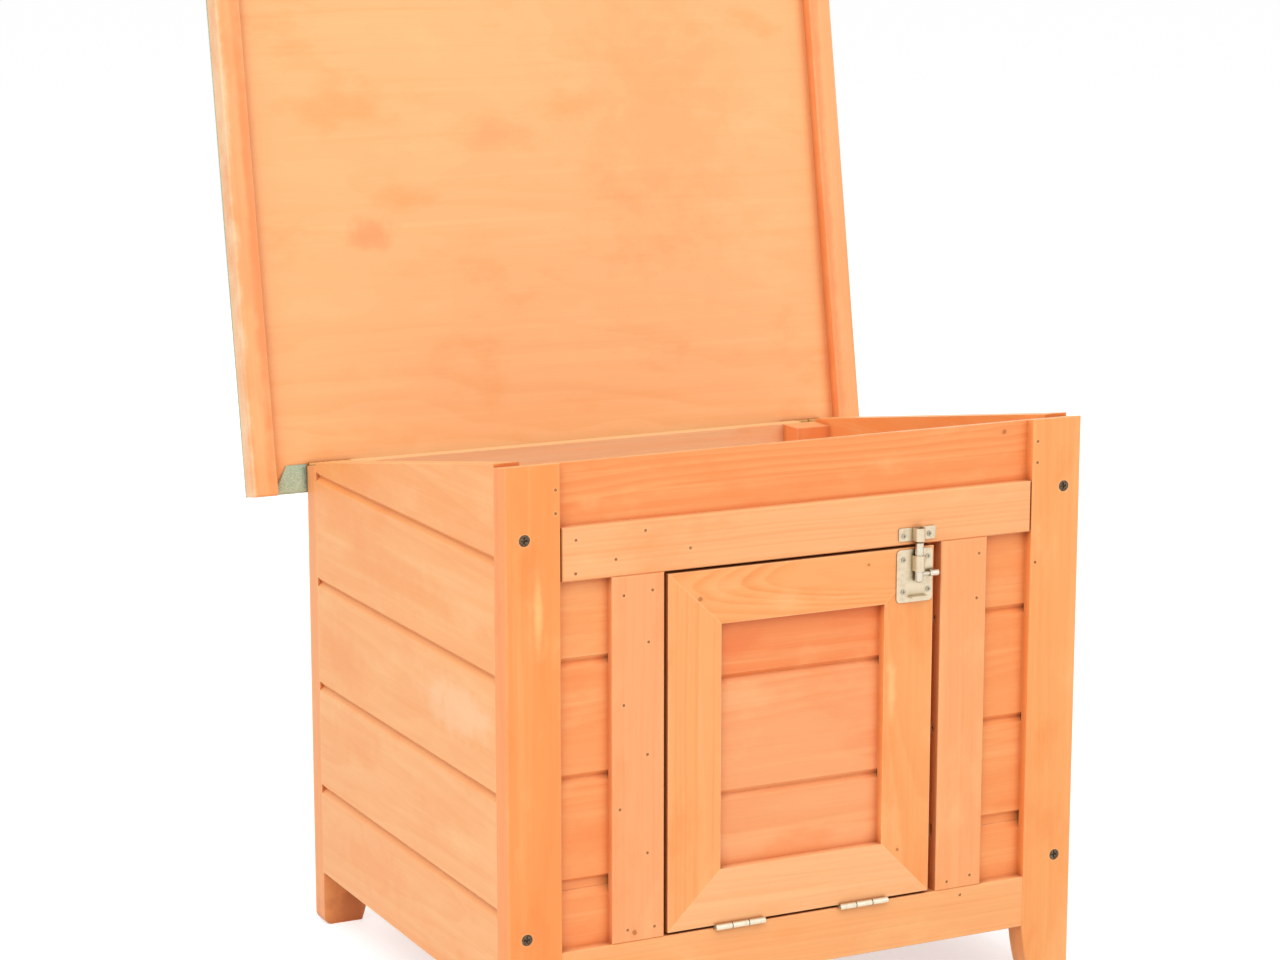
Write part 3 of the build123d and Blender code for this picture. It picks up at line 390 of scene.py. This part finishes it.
def board_place(net, axes, centre):
    """Place on a board in mm, with its grain along x and its face across y."""
    turn = Matrix(axes)
    mapping = net.add("ShaderNodeMapping", {
        "Vector": net.add("ShaderNodeTexCoord").outputs["Object"],
        "Location": -(turn @ centre) / MM,
        "Rotation": turn.to_euler("XYZ"),
        "Scale": (1 / MM,) * 3,
    }, vector_type="POINT")
    return mapping.outputs[0]


def add_patches(net, colour, place, seed, deep, patches):
    """Soft-edged places on the board's face: stained, pale, and on one leg painted shade."""
    for at, size, share, tint in patches:
        away = net.vector("SUBTRACT", place, (at[0], at[1], 0.0))
        away = net.vector("MULTIPLY", away, (1 / size[0], 1 / size[1], 0.0))
        ragged = net.noise(net.vector("ADD", place, seed), 0.045, 4.0, 0.65)
        reach = net.math("ADD", net.vector("LENGTH", away),
                         net.math("MULTIPLY_ADD", ragged, 1.8, -0.9))
        colour = net.mix(net.ramp(reach, 1.0, 0.1, 0.0, share), colour,
                         linear(tint) if tint else deep)
    return colour


def stain_wear_and_painted_light(net, colour, place, seed, grain_axis, late, edge, gap):
    """End grain soaks up more stain. Painted light on tops, wear and painted highlight on edges,
    painted shade in grooves and gaps.
    """
    facing = net.add("ShaderNodeTexCoord").outputs["Normal"]
    along = net.vector("DOT_PRODUCT", facing, grain_axis)
    end = net.ramp(net.math("ABSOLUTE", along), 0.75, 0.98, 0.0, 0.45)
    colour = net.mix(end, colour, late)
    # Faces turned upwards are made paler: painted light from above.
    up = net.add("ShaderNodeSeparateXYZ", {"Vector": facing}).outputs["Z"]
    colour = net.mix(net.ramp(up, 0.80, 0.97, 0.0, 0.45), colour, linear(PAINTED_TOP_LIGHT))
    # Arrises are lightened, in patches: wear with a painted highlight along them.
    round_normal = net.add("ShaderNodeBevel", {"Radius": EDGE_RADIUS}, samples=4).outputs[0]
    true_normal = net.add("ShaderNodeNewGeometry").outputs["True Normal"]
    turned = net.math("SUBTRACT", 1.0, net.vector("DOT_PRODUCT", round_normal, true_normal))
    patchy = net.noise(net.vector("ADD", place, seed), 0.06, 3.0, 0.6)
    lit_worn_edges = net.math("MULTIPLY", net.ramp(turned, 0.02, 0.22),
                    net.ramp(patchy, 0.30, 0.62, 0.25, 1.0))
    openness = net.openness(GROOVE_REACH, 5)
    shut = net.ramp(openness, 0.36, 0.06)
    lit_worn_edges = net.math("MULTIPLY", lit_worn_edges, net.math("SUBTRACT", 1.0, shut))
    # Grooves and recesses found by occlusion are darkened: painted shade.
    groove = net.ramp(openness, 0.82, 0.38, 0.0, 0.72 * gap)
    colour = net.mix(groove, colour, linear(PAINTED_GROOVE_SHADE))
    colour = net.mix(net.math("MULTIPLY", lit_worn_edges, 0.75 * edge), colour, linear(EDGE_WEAR_AND_HIGHLIGHT))
    # Narrow gaps are darkened further: painted shade.
    return net.mix(net.math("MULTIPLY", shut, min(0.90 * gap, 1.0)), colour, linear(PAINTED_GAP_SHADE))


# edge sets the edges' wear and painted highlight; gap sets the painted shade in grooves and gaps.
def wood(name, centre, number, row, knots, patches, edge=1.0, gap=1.0, fine=PLANK_FIBRES):
    """Stained softwood for one board, with its own grain, knots, patches, and painted light and
    shade.
    """
    axes, tone, heart, pitch, rings, wander = row
    material, net = new_material(name)
    place = board_place(net, axes, centre)
    draw = random.Random(SEED + number)
    seed = tuple(draw.uniform(-SEED_REACH, SEED_REACH) for _ in range(3))
    base = Vector(linear(tone)[:3])
    early = (*base, 1)
    late = (*(part * share for part, share in zip(base, LATE_TINT)), 1)
    deep = (*(part * share for part, share in zip(base, DEEP_TINT)), 1)
    pale = (*base.lerp(Vector(linear(PALE_WOOD)[:3]), 0.60), 1)
    masks = []
    grain_place = place
    for at, radius in knots:
        knot = net.add("ShaderNodeGroup", node_tree=KNOT)
        net.put(knot.inputs["Place"], grain_place)
        net.put(knot.inputs["Centre"], (at[0], at[1], 0.0))
        net.put(knot.inputs["Radius"], radius)
        grain_place = knot.outputs["Place"]
        masks.append(knot.outputs)
    grain = net.add("ShaderNodeGroup", node_tree=WOOD)
    values = {
        "Place": grain_place, "Seed": seed,
        "Heart Across": heart[0], "Heart Deep": heart[1], "Heart Tilt": heart[2],
        "Ring Pitch": pitch, "Ring Share": rings, "Wander": wander, "Fine": fine,
        "Early": early, "Late": late, "Pale": pale, "Deep": deep,
    }
    for socket, value in values.items():
        net.put(grain.inputs[socket], value)
    colour = grain.outputs["Color"]
    for mask in masks:
        colour = net.mix(net.math("MULTIPLY", mask["Halo"], 0.55), colour, deep)
    for mask in masks:
        colour = net.mix(net.math("MULTIPLY", mask["Core"], 0.70), colour, linear(KNOT_CORE))
    colour = add_patches(net, colour, place, seed, deep, patches)
    colour = stain_wear_and_painted_light(net, colour, place, seed, axes[0], late, edge, gap)
    rough = net.ramp(grain.outputs["Fibre"], 0.25, 0.75, WOOD_ROUGH + 0.06, WOOD_ROUGH - 0.05)
    net.surface(colour, rough, net.bump(grain.outputs["Height"], GRAIN_HEIGHT, 0.8), IOR=WOOD_IOR)
    return material


def metal(name, colour, rough, scratches, tarnish):
    """Satin plated steel with brushing, small dents, a little tarnish, and painted shade in its
    corners.
    """
    material, net = new_material(name)
    place = net.object_mm()
    brush = net.noise(net.vector("MULTIPLY", place, (0.6, 6.0, 6.0)), 1.0, 3.0, 0.6)
    cloud = net.noise(place, 0.22, 4.0, 0.6)
    base = net.mix(net.ramp(cloud, 0.45, 0.75, 0.0, 0.5), linear(colour), linear(tarnish))
    base = net.vector("SCALE", base, scale=net.ramp(brush, 0.3, 0.7, 0.93, 1.04))
    # Inside corners are darkened: painted shade.
    openness = net.openness(METAL_CORNER_REACH, 4)
    base = net.mix(net.ramp(openness, 0.85, 0.25, 0.0, 0.85), base, linear(PAINTED_METAL_CORNER_SHADE))
    rough_at = net.math("ADD", net.ramp(cloud, 0.35, 0.75, rough, rough + 0.14),
                        net.ramp(brush, 0.3, 0.7, 0.0, 0.05))
    normal = net.bump(net.math("ADD", brush, cloud), scratches * MM, 0.6)
    net.surface(base, rough_at, normal, Metallic=1.0)
    return material


def small_heads(name, colour, other):
    """Small heads with the stain brushed over them, or dark plating that has rubbed thin."""
    material, net = new_material(name)
    cloud = net.noise(net.object_mm(), 0.9, 3.0, 0.6)
    base = net.mix(net.ramp(cloud, 0.40, 0.66), linear(colour), linear(other))
    rough = net.ramp(cloud, 0.3, 0.7, 0.36, 0.55)
    net.surface(base, rough, net.bump(cloud, 0.08 * MM, 0.6), Metallic=0.55)
    return material


def felt_material():
    """Pale green mineral chips pressed into bitumen, with bare dark specks between them."""
    material, net = new_material("mineral_felt")
    place = net.object_mm()
    chips = net.add("ShaderNodeTexVoronoi", {"Vector": place, "Scale": 1.9}, feature="F1").outputs
    tint = net.add("ShaderNodeTexWhiteNoise", {"Vector": chips["Position"]},
                   noise_dimensions="3D").outputs["Value"]
    cloud = net.noise(place, 0.02, 4.0, 0.6)
    colour = net.mix(tint, linear((176, 206, 172)), linear((220, 234, 206)))
    colour = net.mix(net.ramp(cloud, 0.35, 0.7, 0.0, 0.35), colour, linear((166, 198, 164)))
    bare = net.ramp(chips["Distance"], 0.55, 0.80, 0.0, 0.45)
    colour = net.mix(bare, colour, linear((66, 86, 66)))
    height = net.math("SUBTRACT", net.math("MULTIPLY", tint, 0.6), chips["Distance"])
    rough = net.ramp(tint, 0.0, 1.0, 0.78, 0.95)
    net.surface(colour, rough, net.bump(height, 0.30 * MM, 0.9))
    return material


# Which way each board runs. Each line is the grain, the face's other direction, and through it.
ALONG_X_FRONT = ((1, 0, 0), (0, 0, 1), (0, -1, 0))
ALONG_X_FLAT = ((1, 0, 0), (0, 1, 0), (0, 0, 1))
ALONG_Z_FRONT = ((0, 0, 1), (-1, 0, 0), (0, -1, 0))
ALONG_Y_SIDE = ((0, 1, 0), (0, 0, 1), (1, 0, 0))
lean = math.radians(LID_LEAN)
lid_across = Vector((1, 0, 0))
lid_along = Vector((0, math.sin(lean), math.cos(lean)))
lid_out = Vector((0, math.cos(lean), -math.sin(lean)))
LID_LONG = (tuple(lid_along), tuple(lid_across), tuple(lid_along.cross(lid_across)))
LID_ACROSS = (tuple(lid_across), tuple(lid_along), tuple(lid_across.cross(lid_along)))

ORANGE = (249, 165, 100)
PINK = (249, 169, 110)
YELLOW = (250, 170, 102)
RED = (245, 143, 80)

# Boards: which way they run, their stain, the heart of their rings (across, deep, tilt), the
# rings' pitch and strength, and how far the grain wanders, in mm.
BOARDS = {
    "post_front_left": (ALONG_Z_FRONT, (251, 155, 82), (14, 70, 0.03), 6.0, 0.2, 5),
    "post_front_right": (ALONG_Z_FRONT, (250, 167, 96), (-30, 80, 0.02), 6.5, 0.25, 5),
    "post_back_left": (ALONG_Z_FRONT, ORANGE, (20, 60, 0.03), 6.0, 0.3, 5),
    "post_back_right": (ALONG_Z_FRONT, ORANGE, (-20, 60, 0.03), 6.0, 0.3, 5),
    "front_bottom_rail": (ALONG_X_FRONT, (250, 175, 110), (60, 30, 0.02), 5.0, 0.3, 5),
    "front_board_top": (ALONG_X_FRONT, (249, 157, 91), (-35, 25, 0.05), 7.5, 0.75, 9),
    "front_board_header": (ALONG_X_FRONT, ORANGE, (30, 30, 0.04), 7.0, 0.4, 9),
    "front_batten_top": (ALONG_X_FRONT, (250, 178, 118), (50, 22, 0.015), 4.2, 0.42, 4),
    "front_batten_left": (ALONG_Z_FRONT, PINK, (40, 30, 0.02), 4.6, 0.20, 5),
    "front_batten_right": (ALONG_Z_FRONT, (250, 168, 106), (-48, 35, 0.02), 4.6, 0.20, 5),
    "corner_batten_front_left": (ALONG_Z_FRONT, ORANGE, (20, 40, 0.02), 5.0, 0.3, 4),
    "corner_batten_front_right": (ALONG_Z_FRONT, ORANGE, (20, 40, 0.02), 5.0, 0.3, 4),
    "corner_batten_back_left": (ALONG_Z_FRONT, ORANGE, (20, 40, 0.02), 5.0, 0.3, 4),
    "corner_batten_back_right": (ALONG_Z_FRONT, (249, 160, 96), (20, 40, 0.02), 5.0, 0.3, 4),
    "floor_cleats": (ALONG_Y_SIDE, ORANGE, (20, 40, 0.02), 5.0, 0.3, 4),
    "door_stop": (ALONG_X_FRONT, ORANGE, (20, 40, 0.02), 5.0, 0.3, 4),
    "door_stile_left": (ALONG_Z_FRONT, YELLOW, (60, 22, 0.012), 4.4, 0.42, 4),
    "door_stile_right": (ALONG_Z_FRONT, (250, 167, 98), (-10, 46, 0.05), 5.5, 0.45, 6),
    "door_rail_top": (ALONG_X_FRONT, YELLOW, (6, 16, 0.14), 4.4, 0.75, 6),
    "door_rail_bottom": (ALONG_X_FRONT, (251, 186, 128), (50, 40, 0.03), 5.0, 0.3, 6),
    "door_board_1": (ALONG_X_FRONT, (249, 168, 111), (26, 36, 0.05), 7.0, 0.35, 9),
    "door_board_2": (ALONG_X_FRONT, (249, 165, 108), (-20, 40, 0.04), 7.0, 0.40, 9),
    "door_board_3": (ALONG_X_FRONT, RED, (10, 40, 0.05), 7.0, 0.45, 9),
    "lid_strip_left": (LID_LONG, (250, 176, 116), (30, 20, 0.02), 4.5, 0.55, 4),
    "lid_strip_right": (LID_LONG, (250, 176, 114), (-30, 20, 0.02), 4.5, 0.45, 4),
}
for number in range(1, 4):
    for side, tone in (("left", (249, 158, 93)), ("right", (249, 157, 90))):
        heart = (12 - 14 * number, 26 + 6 * number, 0.05)
        BOARDS[f"front_board_{side}_{number}"] = (ALONG_X_FRONT, tone, heart, 6.0, 0.42, 9)
SIDE_TONES = ((251, 179, 114), (251, 179, 113), (251, 177, 109), (251, 174, 104), (251, 169, 98))
for number, tone in enumerate(SIDE_TONES, 1):
    for side in ("left", "right"):
        heart = (24 - 11 * number, 30 + 5 * number, 0.04)
        BOARDS[f"side_board_{side}_{number}"] = (ALONG_Y_SIDE, tone, heart, 8.0, 0.30, 10)
for number in range(1, 5):
    heart = (20 - 13 * number, 32 + 4 * number, 0.04)
    # The back boards' stain is paler than the other boards': painted light on the back wall's shaded
    # inner face.
    BOARDS[f"back_board_{number}"] = (ALONG_X_FRONT, (253, 207, 156), heart, 7.5, 0.35, 10)

# Plywood: a number for its random draws, then what a board has, with the heart far behind the face.
VENEER_HEART = (120, 900, 0.03)
PANELS = {
    "lid_panel": (90, (LID_ACROSS, (252, 188, 126), VENEER_HEART, 5.0, 0.22, 16)),
    "floor_panel": (91, (ALONG_X_FLAT, (250, 172, 112), VENEER_HEART, 5.0, 0.22, 16)),
}

# Knots, as (along, across) from the board's middle and a radius, in mm.
KNOTS = {
    "door_rail_top": (((-76, -0.5), 2.0), ((49.5, 9.7), 1.3)),
    "front_board_top": (((157, 20), 2.2),),
    "door_stile_right": (((-88, 6), 1.4),),
    "front_batten_left": (((-116, 3), 2.2),),
}

# Stains, pale places and painted shade: (along, across) from the middle, (half length, half width),
# both in mm, then share and tint. None is the board's own colour, soaked deeper.
STAINS_AND_SHADE = {
    "post_front_left": (
        ((108, -3), (34, 4), 0.6, (255, 206, 130)),
        ((130, 2), (26, 12), 0.5, None),
    ),
    "door_board_3": (((-50, -16), (34, 14), 0.7, (240, 126, 68)),),
    "door_stile_right": (
        ((24, 13), (26, 5), 0.6, (255, 204, 134)),
        ((96, 4), (24, 18), 0.5, None),
    ),
    "front_board_left_2": (((-10, -8), (40, 16), 0.6, None),),
    "front_board_left_3": (((-5, 24), (40, 10), 0.5, None),),
    "lid_panel": (
        ((-140, -46), (24, 18), 0.75, (244, 158, 100)),
        ((-41, 22), (36, 16), 0.55, (246, 164, 104)),
        ((96, 30), (90, 150), 0.50, (250, 168, 104)),
    ),
    "lid_strip_left": (
        ((0, -14), (1200, 9), 0.65, (255, 222, 178)),
        ((-60, 6), (380, 6), 0.75, (246, 146, 86)),
    ),
    "lid_strip_right": (((0, -7), (1200, 6), 0.65, (244, 146, 86)),),
    # The back left leg's foot is darkened: painted shade under the house's body.
    "post_back_left": (((-156, 0), (44, 22), 0.75, (206, 118, 66)),),
    "side_board_left_3": (
        ((-96, 4), (74, 26), 0.55, (255, 204, 156)),
        ((104, -10), (60, 34), 0.6, None),
    ),
    "side_board_left_4": (
        ((0, -10), (110, 22), 0.5, None),
        ((110, 20), (60, 24), 0.5, None),
    ),
    "side_board_left_5": (((90, -20), (70, 22), 0.4, None),),
    "side_board_left_2": (
        ((-90, 12), (70, 22), 0.35, None),
        ((90, 16), (70, 30), 0.5, None),
    ),
    "side_board_left_1": (((60, 0), (110, 26), 0.6, None),),
    "side_board_right_1": (((0, 0), (400, 120), 0.75, (248, 152, 84)),),
}


def dress(material, *nodes):
    for node in nodes:
        frame["nodes"][node].material_slots[0].material = material


def stain_board(node, prefix, number, row, **look):
    """One wooden node's own material, with its patterns laid from the node's middle."""
    low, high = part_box(node)
    dress(wood(prefix + node, (low + high) / 2, number, row,
               KNOTS.get(node, ()), STAINS_AND_SHADE.get(node, ()), **look), node)


for index, (node, row) in enumerate(BOARDS.items()):
    if node.startswith("side_board"):
        stain_board(node, "wood_", index, row, gap=SIDE_GAP, fine=SIDE_FIBRES)
    else:
        stain_board(node, "wood_", index, row)
for node, (number, row) in PANELS.items():
    stain_board(node, "veneer_", number, row, edge=VENEER_EDGE, fine=VENEER_FIBRES)

dress(metal("zinc_plate", (216, 200, 172), 0.34, 0.03, (184, 168, 140)),
      "bolt_plate", "bolt_keeper")
dress(metal("zinc_rod", (212, 204, 186), 0.22, 0.02, (170, 158, 132)), "bolt_rod")
dress(metal("zinc_hinge", (224, 216, 194), 0.32, 0.03, (196, 182, 150)),
      "door_hinge_door_half", "door_hinge_rail_half")
dress(metal("yellow_zinc_hinge", (206, 160, 100), 0.38, 0.03, (170, 120, 66)),
      "lid_hinge_lid_half", "lid_hinge_wall_half")
dress(metal("small_screw_steel", (188, 178, 158), 0.34, 0.03, (140, 126, 100)),
      "door_small_screws", "house_small_screws", "lid_screws")
dress(small_heads("dark_screw_plating", (70, 56, 44), (128, 108, 84)), "post_screws")
dress(small_heads("stained_brads", (150, 88, 46), (196, 130, 80)), "brads")


# Roofing felt


def felt_profile():
    """Rows of the felt's middle line at its two ends, as (along, out, half width) in mm.

    The lower rows run from the flap's edge, under the lid and round its end, to the outer face.
    The upper rows are the same at the other end, from the outer face to the flap's edge.
    """
    half_thick = FELT_THICK / 2
    top = FELT_UNDER + half_thick
    under = FLAP_INNER + half_thick
    turns = [math.radians(90 * k / BEND_STEPS) for k in range(1, BEND_STEPS)]
    lower = []
    for k in range(FLAP_STEPS + 1):
        share = k / FLAP_STEPS
        along = FELT_LOW + FLAP_LONG * (1 - share) + (half_thick + FELT_BEND) * share
        lower.append((along, under, FLAP_HALF - FLAP_CORNER * (1 - share)))
    for angle in turns:
        lower.append((FELT_LOW + half_thick + FELT_BEND * (1 - math.sin(angle)),
                      under + FELT_BEND * (1 - math.cos(angle)), FLAP_HALF))
    for k in range(END_ROWS):
        rise = (top - under - 2 * FELT_BEND) * k / (END_ROWS - 1)
        lower.append((FELT_LOW + half_thick, under + FELT_BEND + rise, FLAP_HALF))
    for angle in turns:
        lower.append((FELT_LOW + half_thick + FELT_BEND * (1 - math.cos(angle)),
                      top - FELT_BEND * (1 - math.sin(angle)), FLAP_HALF))
    middle = (FELT_LOW + FELT_HIGH) / 2
    upper = [(2 * middle - along, out, half) for along, out, half in reversed(lower)]
    return lower, upper, top


def felt_columns():
    """Places across the felt, one on each notch's edge, and the first and last of the flaps'."""
    inner = [-FLAP_HALF + 2 * FLAP_HALF * k / INNER_COLUMNS for k in range(INNER_COLUMNS + 1)]
    for notch in FELT_NOTCHES:
        for edge in notch:
            nearest = min(range(len(inner)), key=lambda k: abs(inner[k] - edge))
            inner[nearest] = edge
    outer = [FLAP_HALF + (FELT_HALF - FLAP_HALF) * k / OUTER_COLUMNS
             for k in range(1, OUTER_COLUMNS + 1)]
    across = [-x for x in reversed(outer)] + inner + outer
    return across, len(outer), len(outer) + len(inner) - 1


def felt_mesh():
    """The felt's middle surface."""
    lower, upper, top = felt_profile()
    across, first, last = felt_columns()
    mesh = bmesh.new()
    draw = random.Random(SEED + 300)
    waves = [(draw.uniform(*WAVE_RATE), draw.uniform(*WAVE_RATE), draw.uniform(*WAVE_TURN),
              draw.uniform(*WAVE_HEIGHT)) for _ in range(WAVE_COUNT)]

    def lift(x, along):
        return sum(a * math.sin(p * x + q * along + c) for p, q, c, a in waves)

    def vertex(x, along, out):
        foot = Vector((x * MM, LID_PIVOT.y, LID_PIVOT.z))
        return mesh.verts.new(foot + lid_along * (along * MM) + lid_out * (out * MM))

    def flap_row(along, out, half):
        """A row of a turned-in end, drawn in where the flap's corners are cut."""
        made = [None] * len(across)
        spare = FLAP_HALF - CORNER_START
        for k in range(first, last + 1):
            x = across[k]
            if half < FLAP_HALF and abs(x) > CORNER_START:
                drawn_in = (abs(x) - CORNER_START) * (half - CORNER_START) / spare
                x = math.copysign(CORNER_START + drawn_in, x)
            made[k] = vertex(x, along, out)
        return made

    main_low, main_high = lower[-1][0], upper[0][0]
    count = round((main_high - main_low) / MAIN_STEP)
    places = lower[:-1]
    rows = [flap_row(*line) for line in places]
    for k in range(count + 1):
        along = main_low + (main_high - main_low) * k / count
        places.append((along, top, FELT_HALF))
        rows.append([vertex(x, along, top + lift(x, along)) for x in across])
    places += upper[1:]
    rows += [flap_row(*line) for line in upper[1:]]

    main_first, main_last = len(lower) - 1, len(lower) - 1 + count
    middle = (FELT_LOW + FELT_HIGH) / 2
    for r in range(len(rows) - 1):
        here, there = rows[r], rows[r + 1]
        along, out, _ = places[r]
        by_hinges = out < FLAP_INNER + FELT_THICK and along < middle
        for k in range(len(across) - 1):
            if not main_first <= r < main_last and not first <= k < last:
                continue
            if by_hinges and any(low - 0.01 <= across[k] and across[k + 1] <= high + 0.01
                                 for low, high in FELT_NOTCHES):
                continue
            mesh.faces.new([here[k], here[k + 1], there[k + 1], there[k]])
    # Beside the flaps the outer face runs on to the lid's ends.
    for r, end in ((main_first, FELT_LOW), (main_last, FELT_HIGH)):
        for start, stop in ((0, first), (last, len(across) - 1)):
            inner = rows[r][start:stop + 1]
            edge = [vertex(x, end, top) for x in across[start:stop + 1]]
            for k in range(stop - start):
                quad = [inner[k], inner[k + 1], edge[k + 1], edge[k]]
                mesh.faces.new(quad if end > 0 else quad[::-1])
    loose = [v for v in mesh.verts if not v.link_faces]
    bmesh.ops.delete(mesh, geom=loose, context="VERTS")
    bmesh.ops.recalc_face_normals(mesh, faces=mesh.faces)
    data = bpy.data.meshes.new("felt_cover")
    mesh.to_mesh(data)
    mesh.free()
    return data


def felt_cover():
    """The felt: one sheet over the lid's outer face, turned in at both ends, with cut corners."""
    data = felt_mesh()
    for face in data.polygons:
        face.use_smooth = True
    data.materials.append(felt_material())
    piece = bpy.data.objects.new("felt_cover", data)
    bpy.context.scene.collection.objects.link(piece)
    thick = piece.modifiers.new("thickness", "SOLIDIFY")
    thick.thickness = FELT_THICK * MM
    thick.offset = 0.0
    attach(piece, "lid")
    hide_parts("lid_felt")


felt_cover()


# Floor, light and camera


def floor():
    """A plain floor that reads as white and keeps the house's shadow."""
    mesh = bpy.data.meshes.new("floor")
    corners = [(-1, -1), (1, -1), (1, 1), (-1, 1)]
    mesh.from_pydata([(x * FLOOR_HALF, y * FLOOR_HALF, 0) for x, y in corners], [],
                     [(0, 1, 2, 3)])
    piece = bpy.data.objects.new("floor", mesh)
    bpy.context.scene.collection.objects.link(piece)
    material, net = new_material("floor_white")
    plain = net.add("ShaderNodeBsdfDiffuse", {"Color": FLOOR_GREY})
    seen = net.add("ShaderNodeBsdfDiffuse", {"Color": FLOOR_SEEN_GREY})
    glow = net.add("ShaderNodeEmission", {"Strength": FLOOR_GLOW})
    both = net.add("ShaderNodeAddShader")
    net.put(both.inputs[0], seen.outputs[0])
    net.put(both.inputs[1], glow.outputs[0])
    shown = net.mix_shaders(net.seen_straight(), plain, both)
    net.add("ShaderNodeOutputMaterial", {"Surface": shown})
    mesh.materials.append(material)


def world():
    """White behind everything, and a softer even light from all round."""
    sky = bpy.data.worlds.new("studio")
    sky.use_nodes = True
    sky.node_tree.nodes.clear()
    net = Net(sky.node_tree)
    soft = net.add("ShaderNodeBackground", {"Color": WHITE, "Strength": WORLD_LIGHT})
    white = net.add("ShaderNodeBackground", {"Color": WHITE, "Strength": WORLD_SEEN})
    shown = net.mix_shaders(net.seen_straight(), soft, white)
    net.add("ShaderNodeOutputWorld", {"Surface": shown})
    bpy.context.scene.world = sky


def lamp(name, place, size, power):
    data = bpy.data.lights.new(name, "AREA")
    data.shape = "SQUARE"
    data.size = size
    data.energy = power
    piece = bpy.data.objects.new(name, data)
    piece.location = place
    way = Vector(LAMP_AIM) - Vector(place)
    piece.rotation_euler = way.to_track_quat("-Z", "Y").to_euler()
    bpy.context.scene.collection.objects.link(piece)


def camera():
    view = bpy.data.cameras.new("camera")
    view.sensor_width = CAMERA_SENSOR
    view.lens = CAMERA_LENS
    piece = bpy.data.objects.new("camera", view)
    piece.location = CAMERA_PLACE
    piece.rotation_euler = (math.radians(90 - CAMERA_PITCH), 0.0, math.radians(-CAMERA_YAW))
    bpy.context.scene.collection.objects.link(piece)
    bpy.context.scene.camera = piece


floor()
world()
for name, row in LAMPS.items():
    lamp(name, *row)
camera()
bpy.context.scene.view_settings.view_transform = "Standard"
